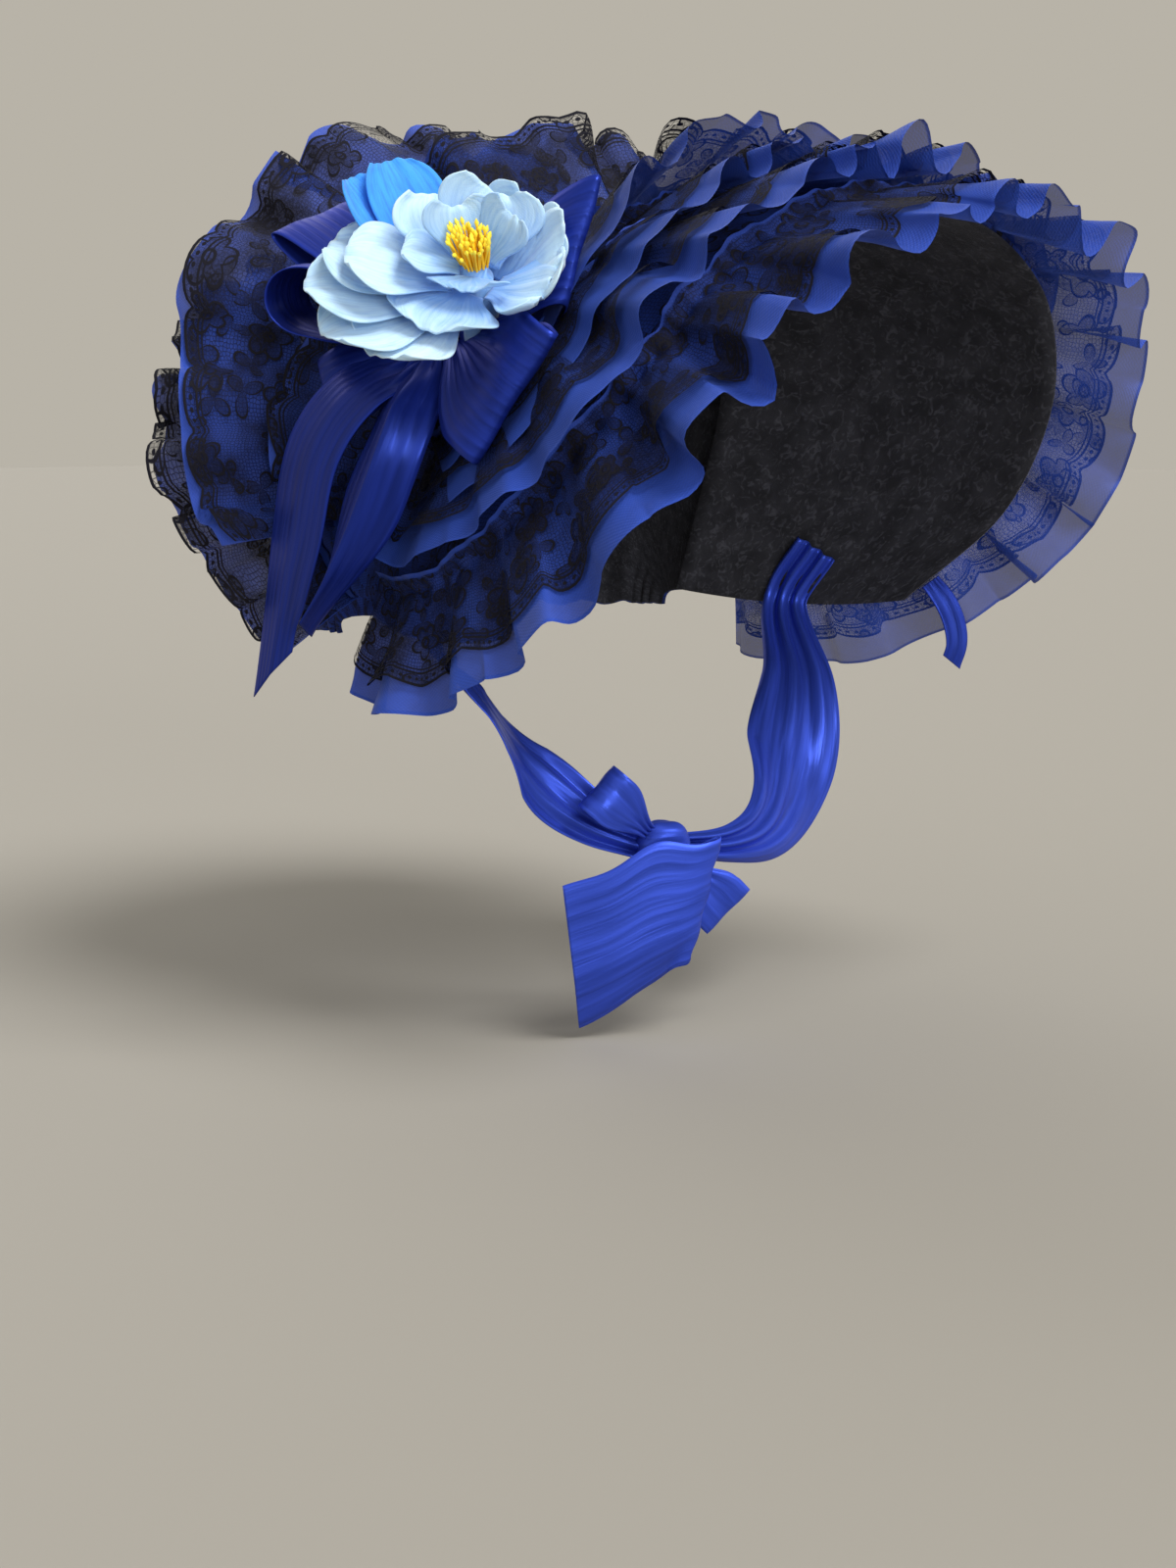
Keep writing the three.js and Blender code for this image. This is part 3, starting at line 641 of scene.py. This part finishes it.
backTiers = [
    {"name": "ruffle_back_1", "place": 0.07, "end": 0.97, "wrap": 45, "length": 52, "lift": 58, "topLift": 44,
     "droop": 14, "waves": 9, "depth": 9, "press": 0.88, "lace": 1.02},
    {"name": "ruffle_back_2", "place": 0.24, "end": 0.97, "wrap": 45, "length": 70, "lift": 62, "topLift": 48,
     "droop": 14, "waves": 10, "depth": 10, "press": 0.35, "lace": 0.97},
    {"name": "ruffle_back_3", "place": 0.42, "end": 0.97, "wrap": 66, "wrapLeft": 52, "length": 56,
     "lift": 54, "topLift": 46, "droop": 16, "waves": 17, "depth": 9.5, "press": 0, "lace": 1.04},
]
ruffleShape = {
    "corner": 4, "endTaper": 0.3, "columns": 22, "rows": 18, "header": 0.13, "laceHeader": 0.8, "fold": 1.15,
    "fullness": 1.45,  # cut width over the gathered width
}
corsage = {"along": -0.52, "place": 0.1, "pressWidth": 0.27}


def sewnLine(host, tier):
    turn = np.radians(np.linspace(-tier["wrap"], tier.get("wrapLeft", tier["wrap"]), 400))
    side, top = np.sin(turn), np.cos(turn)
    power = ruffleShape["corner"]
    reach = (np.abs(side) ** power + top**power) ** (-1 / power)
    along, across = tier["end"] * reach * side, tier["place"] * reach * top
    run = distances(host(along, across))
    share = run / run[-1]
    return lambda u: (np.interp(u, share, along), np.interp(u, share, across)), run[-1]


def lobes(swing):  # broad crests and narrow creases
    return 2 * np.sqrt((1 + np.sin(swing)) / 2 + 0.012) - 1.06


def ruffleSurface(host, hostWall, tier, heading, phase):
    line, run = sewnLine(host, tier)
    at = lambda u: host(*line(np.clip(u, 0, 1)))
    pitch = run / tier["waves"]

    def surface(u, v):
        along, across = line(np.clip(u, 0, 1))
        up = outwardAt(host, along, across)
        runWay = unit(at(u + 2e-3) - at(u - 2e-3))
        ahead = unit(np.cross(runWay, up)) * heading
        near = np.exp(-(((along - corsage["along"]) / corsage["pressWidth"]) ** 2))
        press = 1 - tier["press"] * near
        lift = np.radians(lerp(tier["topLift"], tier["lift"], ease(np.abs(along), 0.1, 0.5)) * press)
        bend = np.radians(tier["droop"] * press)
        taper = 1 - ruffleShape["endTaper"] * np.abs(2 * u - 1) ** 5
        hang = np.maximum(v, 0)
        length = tier["length"] * taper * (1 + 0.05 * np.sin(33 * u + phase))
        slant = lift - bend * hang
        reach = length * (np.sin(lift) - np.sin(slant)) / bend
        rise = length * (np.cos(slant) - np.cos(lift)) / bend
        head = np.minimum(v, 0) * tier["length"]  # the frill behind the stitching
        reach = reach + head * np.cos(lift + 0.5)
        rise = rise - head * np.sin(lift + 0.5)
        swing = 2 * math.pi * tier["waves"] * u + phase
        swing = swing + 0.7 * np.sin(14 * u + 2 * phase) + 0.5 * np.sin(37 * u + phase)  # uneven folds
        size = tier["depth"] * press * taper * (0.85 + 0.3 * np.sin(23 * u + phase))
        spread = np.where(v > 0, hang**0.7, -1.6 * v)
        wave = size * spread * (lobes(swing) + 0.2 * np.sin(2.37 * swing + phase) * (0.4 + 0.6 * hang))
        gather = 0.9 * np.sin(3.1 * swing + 2 * np.sin(17 * u)) * np.exp(-6 * np.abs(v)) * (0.3 + 0.7 * press)
        curl = 0.25 * size * ease(v, 0.7, 1.0) * np.sin(swing * 1.5 + 2 * phase)
        fold = -ruffleShape["fold"] * pitch / (4 * math.pi) * np.sin(2 * swing) * spread * press
        high = (hostWall + wall["ruffle"]) / 2 + wall["gap"] + rise + (wave + gather + curl) * np.cos(slant)
        far = reach - (wave + curl) * np.sin(slant)
        return at(u) + up * high[..., None] + ahead * far[..., None] + runWay * fold[..., None]

    return surface, run


def scallop(u, run, pitch=27.0, depth=5.0):  # lobes of the lace edge, in millimetres
    return depth * (np.abs(np.sin(math.pi * u * run / pitch)) ** 0.7 - 1)


def makeTier(tier, host, hostName, heading, phase, cloth):
    surface, run = ruffleSurface(host, wall[hostName], tier, heading, phase)
    header = ruffleShape["header"]
    columns = tier["waves"] * ruffleShape["columns"]
    rows, length = ruffleShape["rows"], tier["length"]
    full = run * ruffleShape["fullness"]
    tall = length * (1 + header)
    strip = lambda u, v: surface(u, lerp(-header, 1, v))
    fromHem = lambda u, v: (1 - v) * tall / 10
    layered = lambda u, v: tier.get("layered", 0) * (1 - ease(u, 0.15, 0.35))
    label = tier["name"].replace("_", "")
    sheer = sheetPiece(label + "Chiffon", columns, rows, strip, (full, tall), cloth, 0, fromHem, layered)
    declare([tier["name"]], (full, tall))

    up = outwardAt(host, np.array([0.0]), np.array([tier["place"]]))
    facingSide = np.sign(np.sum(normalOf(surface, np.array([0.5]), np.array([0.4])) * up))
    laceHeader = header * ruffleShape["laceHeader"]
    laceTall = length * (tier["lace"] + laceHeader)
    fromEdge = lambda u, v: (1 - v) * laceTall / 10

    def overlay(u, v):
        w = lerp(-laceHeader, tier["lace"] + scallop(u, full) / length, v)
        stand = np.maximum(np.sin(29 * u + 2 * tier["waves"]), 0) ** 4  # it stands off the chiffon in places
        lift = 0.8 + 0.5 * np.sin(41 * u + 5 * w) * w + (1.2 + 5 * stand) * ease(w, 0.4, 1)
        return surface(u, w) + normalOf(surface, u, w) * (lift * facingSide)[..., None]

    lace = sheetPiece(label + "Lace", columns, rows, overlay, (full, laceTall), blackLace, 0, fromEdge)
    declare([], (full, laceTall))


for i, tier in enumerate(frontTiers):
    makeTier(tier, brimPoint, "brim", 1, 1.7 * i + 1, chiffon)
for i, tier in enumerate(backTiers):
    makeTier(tier, crownPoint, "crown", -1, 1.7 * i - 1, chiffonDoubled)
print("ruffles made")

# corsage: a bow with a flower on it, seated near the seam on the wearer's right
bowSeat = brimPoint(np.array([corsage["along"]]), np.array([corsage["place"]]))[0]
bowPlace = facingFrame(bowSeat, (-0.87, -0.14, 0.47))
flowerPlace = facingFrame(placed(bowPlace, np.array((23.5, -4, 35.0))), (-0.49, -0.52, 0.76))

# one row a petal: heading round the flower, length, half width, slope off its plane, cup and ripple
petalRings = {
    "petal_blue": {
        "from": 10, "height": 0.8, "curl": 10, "crease": 2.0, "twist": 2.0, "tone": 0.0,
        "rows": [(138, 57, 13, 26, 4, 0.4), (122, 56, 16, 27, 4, 0.5)],
    },
    "petal_outer": {
        "from": 10, "height": 8.6, "curl": 6, "crease": 0.3, "twist": 3.6, "tone": 0.0,
        "rows": [(2, 32, 22, 47, 6, 3.6), (38, 30, 22, 49, 6, 3.4), (160, 46, 23, 7, 4, 0.7),
                 (181, 51, 23, 3, 4, 0.7), (201, 48, 22, -3, 4, 0.6), (222, 38, 23, -3, 5, 0.8)],
    },
    "petal_middle": {
        "from": 7, "height": 14.9, "curl": 8, "crease": 0.3, "twist": 2.4, "tone": 0.04,
        "rows": [(113, 29, 21, 28, 6, 0.7), (72, 28, 20, 43, 7, 0.8), (176, 40, 21, 10, 5, 0.6),
                 (240, 25, 22, 0, 4, 0.7), (328, 26, 20, 24, 5, 2.6)],
    },
    "petal_inner": {
        "from": 4.5, "height": 20.4, "curl": 8, "crease": 0.2, "twist": 1.6, "tone": 0.06,
        "rows": [(40, 20, 12, 50, 5, 0.7), (115, 20, 14, 50, 6, 0.5), (175, 22, 12, 13, 4, 0.5),
                 (258, 12, 15, 16, 3, 0.5)],
    },
}
petalShape = {
    "root": 0.36, "widest": 0.66, "blunt": 0.56, "round": 0.07, "crinkle": 0.6, "lip": 1.3,
    "grid": 24, "wall": 0.6, "toneSpread": 0.1,
}


def petalSurface(ring, row):
    heading, full, half, tilt, cup, rippled = row
    heading, tilt, curl = math.radians(heading), math.radians(tilt), math.radians(ring["curl"])
    seed = 1.9 * heading + 3.1 * ring["from"]

    def surface(u, v):
        side = 2 * u - 1
        v = np.clip(v, 0, 1)
        wide = petalShape["widest"]
        early = lerp(petalShape["root"], 1, ease(v, 0, wide))
        past = np.clip((v - wide) / (1 - wide), 0, 1)
        late = np.sqrt(np.maximum(1 - (1 - petalShape["blunt"] ** 2) * past**2, 0))
        share = np.where(v < wide, early, late)
        length = full * v * (1 - petalShape["round"] * (side * v) ** 2)
        slant = tilt + curl * v
        bend = np.where(v > 1e-6, curl * v, 1)
        reach = length * (np.sin(slant) - np.sin(tilt)) / bend
        rise = length * (np.cos(tilt) - np.cos(slant)) / bend
        across = side * half * share
        out = ring["from"] + wall["gap"] + 1.2 * math.sin(tilt) + reach
        edge = np.maximum(np.abs(side), v) ** 3 * v
        ripple = rippled * edge * (np.sin(4.2 * side + seed) + 0.35 * np.sin(9.1 * side + 5 * v + 2 * seed))
        crinkle = petalShape["crinkle"] * rippled * v * np.sin(13 * side + 2 * seed)  # these run to the tip
        crease = -ring["crease"] * np.exp(-((side / 0.16) ** 2)) * np.sin(math.pi * np.minimum(v * 1.1, 1))
        roll = -petalShape["lip"] * ease(v, 0.78, 1) ** 2  # the lip turns back
        high = ring["height"] + rise + cup * v * side * side + ring["twist"] * side * v
        high = high + ripple + crinkle + crease + roll
        x = out * math.cos(heading) - across * math.sin(heading)
        y = out * math.sin(heading) + across * math.cos(heading)
        return placed(flowerPlace, np.stack([x, y, high], -1))

    return surface


def makeFlower():
    grid, made = petalShape["grid"], 0
    for kind, ring in petalRings.items():
        azure = kind == "petal_blue"
        finish, slot = (azureCloth, "azure_cloth") if azure else (petalCloth, "petal_cloth")
        for number, row in enumerate(ring["rows"], 1):
            node, size = f"{kind}_{number}", (2 * row[2], row[1])
            tone = ring["tone"] + petalShape["toneSpread"] * math.sin(5.3 * made)
            petal = sheetPiece(
                node + "Cloth", grid, grid, petalSurface(ring, row), size, finish, petalShape["wall"],
                tone=lambda u, v: tone,
            )
            declare([node], size)
            made += 1


makeFlower()
print("petals made")


def layCloth(bm):  # cloth coordinates from the front
    layer = bm.loops.layers.uv.new("cloth")
    for face in bm.faces:
        for loop in face.loops:
            loop[layer].uv = (loop.vert.co.x * 100, loop.vert.co.z * 100)


def finishSolid(name, bm, material, node):
    mesh = bakeMesh(name, bm, material)
    writeValues(mesh, "hem", noHem)
    obj = addObject(name, mesh)
    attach(obj, "root")
    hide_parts(node)


knotShape = {"pinch": 0.22, "groove": 0.045}


def pleatedBall(name, size, place, material, node, pleats):
    bm = bmesh.new()
    bmesh.ops.create_uvsphere(bm, u_segments=48, v_segments=24, radius=1)
    for vert in bm.verts:
        around = math.atan2(vert.co.z, vert.co.y)
        pinch = 1 - knotShape["pinch"] * (1 - abs(vert.co.x)) * math.cos(2 * around) ** 2
        groove = 1 + knotShape["groove"] * math.sin(pleats * around + 2 * vert.co.x)
        local = np.array(vert.co) * np.array(size["half"]) * (1, pinch * groove, pinch * groove)
        vert.co = placed(place, local + np.array(size["at"])) * 0.001
    layCloth(bm)
    finishSolid(name, bm, material, node)


def turnedPiece(name, profile, place, material, node):  # a profile spun about the place's own axis
    bm = bmesh.new()
    verts = [bm.verts.new((r, 0, z)) for r, z in profile]
    edges = [bm.edges.new(pair) for pair in zip(verts, verts[1:])]
    bmesh.ops.spin(
        bm, geom=verts + edges, cent=(0, 0, 0), axis=(0, 0, 1), angle=2 * math.pi, steps=28, use_merge=True
    )
    bmesh.ops.remove_doubles(bm, verts=bm.verts, dist=1e-3)
    bmesh.ops.recalc_face_normals(bm, faces=bm.faces)
    for vert in bm.verts:
        vert.co = placed(place, np.array(vert.co)) * 0.001
    layCloth(bm)
    finishSolid(name, bm, material, node)


shank = [
    (0, 2.6), (3.4, 2.6), (3.9, 3.6), (3.5, 5.2), (3.9, 7), (3.5, 8.8), (3.9, 10.6), (3.4, 11.6), (0, 11.6),
]
calyx = [
    (0, -15), (3, -15), (4, -4), (4.4, -0.6), (9.4, 0.6), (9.8, 5), (9.4, 9.4), (6.8, 10.6), (6.9, 16.8),
    (4.4, 17.8), (4.4, 22.4), (0, 22.8),
]
turnedPiece("corsageShank", shank, bowPlace, violetSatin, "corsage_post")
turnedPiece("flowerCalyx", calyx, flowerPlace, petalCloth, "flower_core")

stamenTuft = {
    "count": 64, "spread": 5.2, "length": 11, "lean": 20, "radius": 0.46, "base": 22.9,
    "heading": 118, "tip": 20, "seed": 7, "spiral": 2.4,
}


def makeStamens():
    t = stamenTuft
    luck = np.random.default_rng(t["seed"])
    bm = bmesh.new()
    layer = bm.loops.layers.uv.new("cloth")
    heading, tip = math.radians(t["heading"]), math.radians(t["tip"])
    for i in range(t["count"]):
        share = math.sqrt((i + 0.5) / t["count"])
        turn = i * t["spiral"]
        length = t["length"] * (0.78 + 0.3 * luck.random())
        lean = math.radians(t["lean"] * share + 5 * luck.normal())
        bow = math.radians(14 * luck.normal())
        made = bmesh.ops.create_grid(bm, x_segments=6, y_segments=9, size=0.5)["verts"]
        for vert in made:
            around, up = 2 * math.pi * (vert.co.x + 0.5), vert.co.y + 0.5
            bulb = 1 + 1.1 * math.exp(-(((up - 0.92) / 0.07) ** 2))
            thick = t["radius"] * bulb * (0.15 if up > 0.99 else 1)
            angle = lean + bow * up
            front, side = thick * math.cos(around), thick * math.sin(around)
            out = t["spread"] * share + length * up * math.sin(angle) + front * math.cos(angle)
            high = t["base"] + length * up * math.cos(angle) - front * math.sin(angle)
            lay = (high - t["base"]) * math.tan(tip)  # the whole tuft leans
            x = out * math.cos(turn) - side * math.sin(turn) + lay * math.cos(heading)
            y = out * math.sin(turn) + side * math.cos(turn) + lay * math.sin(heading)
            for loop in vert.link_loops:
                loop[layer].uv = (around, up)
            vert.co = placed(flowerPlace, np.array((x, y, high))) * 0.001
    bmesh.ops.remove_doubles(bm, verts=bm.verts, dist=2e-6)
    bmesh.ops.recalc_face_normals(bm, faces=bm.faces)
    finishSolid("stamenTuft", bm, stamenThread, "stamens")


makeStamens()
print("flower heart made")

# ribbon loops: angle is the heading round the knot, rise the slope off its plane
bowLoops = [
    {"node": "bow_loop_upper", "angle": 150, "rise": 10, "roll": 38, "length": 78, "width": 36,
     "swell": 4.0, "height": 14.5, "root": 11.6},
    {"node": "bow_loop_rear", "angle": 175, "rise": 14, "roll": 55, "length": 58, "width": 31,
     "swell": 12.0, "height": 23.5, "root": 9.9},
    {"node": "bow_loop_face", "angle": 20, "rise": 18, "slant": 0.5, "length": 58, "width": 44,
     "swell": 4.5, "height": 15, "root": 13},
    {"node": "bow_loop_lower", "angle": -37, "rise": 18, "roll": 14, "length": 62, "width": 54,
     "swell": 5.0, "height": 17, "root": 11.9},
    {"node": "bow_loop_under", "angle": -148, "rise": 8, "length": 44, "width": 32,
     "swell": 3.5, "height": 14, "root": 11.8},
]
loopShape = {
    "root": 0.3, "rootGap": 1.4, "columns": 72, "rows": 20, "wall": 0.5, "pleats": 3.5, "pleatDepth": 1.1,
}


def loopSurface(loop, place):
    turn, rise, roll = (math.radians(loop.get(key, 0)) for key in ("angle", "rise", "roll"))

    def surface(u, v):
        reach = np.sin(math.pi * np.clip(u, 0, 1))
        out = loop["root"] + loop["length"] * reach
        pinch = np.exp(-5 * reach)
        pleat = loopShape["pleatDepth"] * pinch * np.sin(2 * math.pi * loopShape["pleats"] * v)
        sway = 0.8 * np.sin(3 * math.pi * v + 5 * u + loop["angle"]) * reach
        gape = loop["swell"] * np.sin(2 * math.pi * u) + loopShape["rootGap"] * (1 - 2 * u)
        gape = gape + pleat + sway * 0.6
        share = lerp(loopShape["root"], 1, ease(reach, 0, 0.75))
        half = loop["width"] * share * (v - 0.5)
        tip = roll * ease(reach, 0.1, 0.7)  # the face tips as it leaves the knot
        across = half * np.cos(tip) - gape * np.sin(tip)
        lift = half * np.sin(tip) + gape * np.cos(tip)
        out = out + loop.get("slant", 0) * half * reach
        x = out * math.cos(rise) - lift * math.sin(rise)
        z = out * math.sin(rise) + lift * math.cos(rise)
        east = x * math.cos(turn) - across * math.sin(turn)
        north = x * math.sin(turn) + across * math.cos(turn)
        return placed(place, np.stack([east, north, z + loop["height"]], -1))

    return surface


def selvageHighlight(width):  # distance from the nearer edge, in centimetres, which places the painted highlight along the ribbon's edges
    return lambda u, v: width * (0.5 - np.abs(v - 0.5)) / 10


def ribbonPiece(name, node, shape, surface, long, width, satin):
    piece = sheetPiece(
        name, shape["columns"], shape["rows"], surface, (long, width), satin, shape["wall"], selvageHighlight(width)
    )
    if node:
        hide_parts(node)


def makeLoops(loops, place, satin):
    for loop in loops:
        surface = loopSurface(loop, place)
        long = distances(surface(np.linspace(0, 1, 200), np.full(200, 0.5)))[-1]
        node, width = loop["node"], loop["width"]
        name = node.replace("_", "") + "Ribbon"
        ribbonPiece(name, node, loopShape, surface, long, width, satin)


bowKnot = {"half": (12, 9, 8), "at": (0, 0, 20), "pleats": 9}
pleatedBall("bowKnotWrap", bowKnot, bowPlace, violetSatin, "bow_knot", bowKnot["pleats"])
makeLoops(bowLoops, bowPlace, violetSatin)

# plain lengths of ribbon: centre line, widths at the start, middle and end, and the way the width runs
ribbonShape = {"columns": 90, "rows": 20, "wall": 0.5, "pleats": 3.0, "pleatDepth": 2.0, "creaseAt": 0.32}


def ribbonSurface(ribbon, line):
    at, run = evenCurve(line)
    start, middle, end = ribbon["widths"]
    fromWay, toWay = unit(np.array(ribbon["from"], float)), unit(np.array(ribbon["to"], float))

    def surface(u, v):
        breadth = lerp(lerp(start, middle, ease(u, *ribbon["full"])), end, ease(u, 0.5, 1))
        tangent = unit(at(u + 2e-3) - at(u - 2e-3))
        across = lerp(fromWay, toWay, u[..., None])
        if not ribbon.get("sheared"):  # sheared: its ends are not square to its length
            across = across - tangent * np.sum(across * tangent, -1, keepdims=True)
        across = unit(across)
        normal = unit(np.cross(tangent, across))
        spare = np.sqrt(np.maximum(max(ribbon["widths"]) ** 2 - breadth**2, 0))  # width taken up by pleats
        deep = np.minimum(spare / (2 * math.pi * ribbonShape["pleats"]), ribbonShape["pleatDepth"])
        pleat = deep * np.sin(2 * math.pi * ribbonShape["pleats"] * v + 2 * u)
        if "loose" in ribbon:  # the pleats open towards a free end
            pleat = pleat * (1 - ease(u, *ribbon["loose"]))
        if "valley" in ribbon:  # folded along its middle
            pleat = pleat - ribbon["valley"] * (1 - np.abs(2 * v - 1)) * ease(u, 0, 0.3)
        if "crease" in ribbon:  # one edge turns back
            turned = np.maximum(ribbonShape["creaseAt"] - v, 0) * ease(u, 0.2, 0.4)
            pleat = pleat + ribbon["crease"] * breadth * turned
        spot = breadth * (v - 0.5)
        if "crest" in ribbon:  # the upper edge rises over the knot
            high, place, spread = ribbon["crest"]
            spot = spot + high * v**2 * np.exp(-(((u - place) / spread) ** 2))
        trim = ribbon.get("cut", 0) * (0.5 - v) * ease(u, 0.75, 1)
        return at(u) + across * spot[..., None] + tangent * trim[..., None] + normal * pleat[..., None]

    return surface, run


def makeRibbon(ribbon, line, satin):
    surface, run = ribbonSurface(ribbon, line)
    width = max(ribbon["widths"])
    node = ribbon.get("node")
    name = ribbon.get("name") or node.replace("_", "") + "Ribbon"  # small trim has a name and no solid
    ribbonPiece(name, node, ribbonShape, surface, run, width, satin)


bowTails = [
    {"node": "bow_tail_rear", "widths": (14, 36, 20), "full": (0, 0.16), "cut": -26, "loose": (0.1, 0.3),
     "valley": 1.5, "from": (0.25, 1, 0.3), "to": (0.1, 1, 0.35), "root": (-3, -9.5, 18),
     "line": [(-138, 24, -62), (-147, 37, -82), (-146, 51, -118), (-142, 65, -150), (-142, 71, -172)]},
    {"node": "bow_tail_front", "widths": (14, 26, 5), "full": (0, 0.16), "cut": 18, "loose": (0.1, 0.3),
     "valley": 11, "from": (-0.2, 1, 0), "to": (-0.25, 1, 0.3), "root": (0.5, -10, 23),
     "line": [(-142, -1, -84), (-146, 19, -122), (-145, 41, -147)]},
]
for tail in bowTails:
    root = placed(bowPlace, np.array(tail["root"], float))
    makeRibbon(tail, [root] + tail["line"], violetSatin)
print("bow made")

chinTies = [
    {"node": "chin_tie_right", "widths": (24, 38, 15), "full": (0.1, 0.5), "side": -1, "to": (0, 0.1, 1),
     "line": [(-98, -4, -182), (-80, -12, -210), (-62, -26, -229), (-41, -41.5, -240.4)]},
    {"node": "chin_tie_left", "widths": (20, 44, 10), "full": (0.1, 0.5), "side": 1, "to": (0, 0, 1),
     "line": [(96, -10, -186), (66, -28, -222), (28, -47, -240), (-6, -54, -243), (-35, -46.5, -241)]},
]
tieStitch = {"along": (0.88, 0.99), "across": (0.42, 0.42), "middle": 0.94, "width": (0.5, 0.3), "clear": 2.5}


def makeTies():
    inside = -wall["brim"] / 2 - wall["lining"] - 2 * wall["gap"] - tieStitch["clear"]
    for tie in chinTies:
        along, across = np.array(tieStitch["along"]) * tie["side"], np.array(tieStitch["across"])
        sewn = brimPoint(along, across) + outwardAt(brimPoint, along, across) * inside
        spread = brimPoint(np.array([tieStitch["middle"] * tie["side"]] * 2), np.array(tieStitch["width"]))
        ribbon = dict(tie, **{"from": spread[1] - spread[0]})
        makeRibbon(ribbon, list(sewn) + tie["line"], blueSatin)


makeTies()

chinKnot = {"half": (11, 12, 8), "at": (0, 0, 0), "centre": (-38, -44, -241), "neck": (0, 10), "pleats": 7}
chinLoops = [
    {"node": "chin_loop_near", "angle": 138, "rise": 12, "length": 30, "width": 21, "swell": 6.0,
     "height": 3, "root": 11},
    {"node": "chin_loop_far", "angle": -46, "rise": -4, "length": 27, "width": 25, "swell": 1.8,
     "height": 3, "root": 12.1},
]
chinTails = [
    {"node": "chin_tail_front", "widths": (18, 52, 61), "full": (0, 0.25), "loose": (0.1, 0.3),
     "sheared": True, "crease": 0.5, "crest": (9, 0.58, 0.16),
     "from": (0.33, 0.94, 0), "to": (-0.12, 0.99, 0),
     "line": [(5, -6.5, 6.6), (11, -13, 8.5), (14.5, -20, 12), (9, -22.5, 16), (-14, -32, 17),
              (-40.6, -42, 13)]},
    {"node": "chin_tail_rear", "widths": (16, 36, 38), "full": (0.1, 0.5), "cut": 8, "loose": (0.4, 0.7),
     "from": (1, 0, 0), "to": (1, 0.2, 0),
     "line": [(-1, -12.7, -1), (-4, -24, -4), (-8, -36, -5), (-13, -47, -5)]},
]


def makeChinBow():
    centre, neck = chinKnot["centre"], chinKnot["neck"]
    place = facingFrame(centre, (centre[0] - neck[0], centre[1] - neck[1], 0))
    pleatedBall("chinKnotWrap", chinKnot, place, blueSatin, "chin_knot", chinKnot["pleats"])
    makeLoops(chinLoops, place, blueSatin)
    for tail in chinTails:
        turned = dict(tail)
        turned["from"] = np.array(tail["from"], float) @ place["axes"]
        turned["to"] = np.array(tail["to"], float) @ place["axes"]
        line = placed(place, np.array(tail["line"], float))
        makeRibbon(turned, line, blueSatin)


makeChinBow()

# a short loose end at the far jaw
jawEnd = {
    "name": "jawendRibbon", "widths": (9, 10, 9), "full": (0, 0.3), "cut": -4, "loose": (0, 0.2),
    "from": (0.67, -0.74, 0), "to": (0.67, -0.74, 0.1),
    "line": [
        (131.5, -56, -143), (135, -62, -152), (137.5, -65.5, -162), (138, -66.5, -171), (136.5, -65, -179),
    ],
}
makeRibbon(jawEnd, jawEnd["line"], violetSatin)
print("chin ties made")

floorLook = {"colour": (0.295, 0.282, 0.256, 1), "roughness": 0.9, "half": 12, "below": 0.003}


def makeFloor():
    material = bpy.data.materials.new("palePaper")
    material.use_nodes = True
    shader = material.node_tree.nodes["Principled BSDF"]
    shader.inputs["Base Color"].default_value = floorLook["colour"]
    shader.inputs["Roughness"].default_value = floorLook["roughness"]
    bm = bmesh.new()
    bmesh.ops.create_grid(bm, x_segments=2, y_segments=2, size=floorLook["half"])
    bmesh.ops.translate(bm, verts=bm.verts, vec=(0, 0, cadBox[0].z - floorLook["below"]))
    addObject("floor", bakeMesh("floor", bm, material))


makeFloor()
print("stage made")
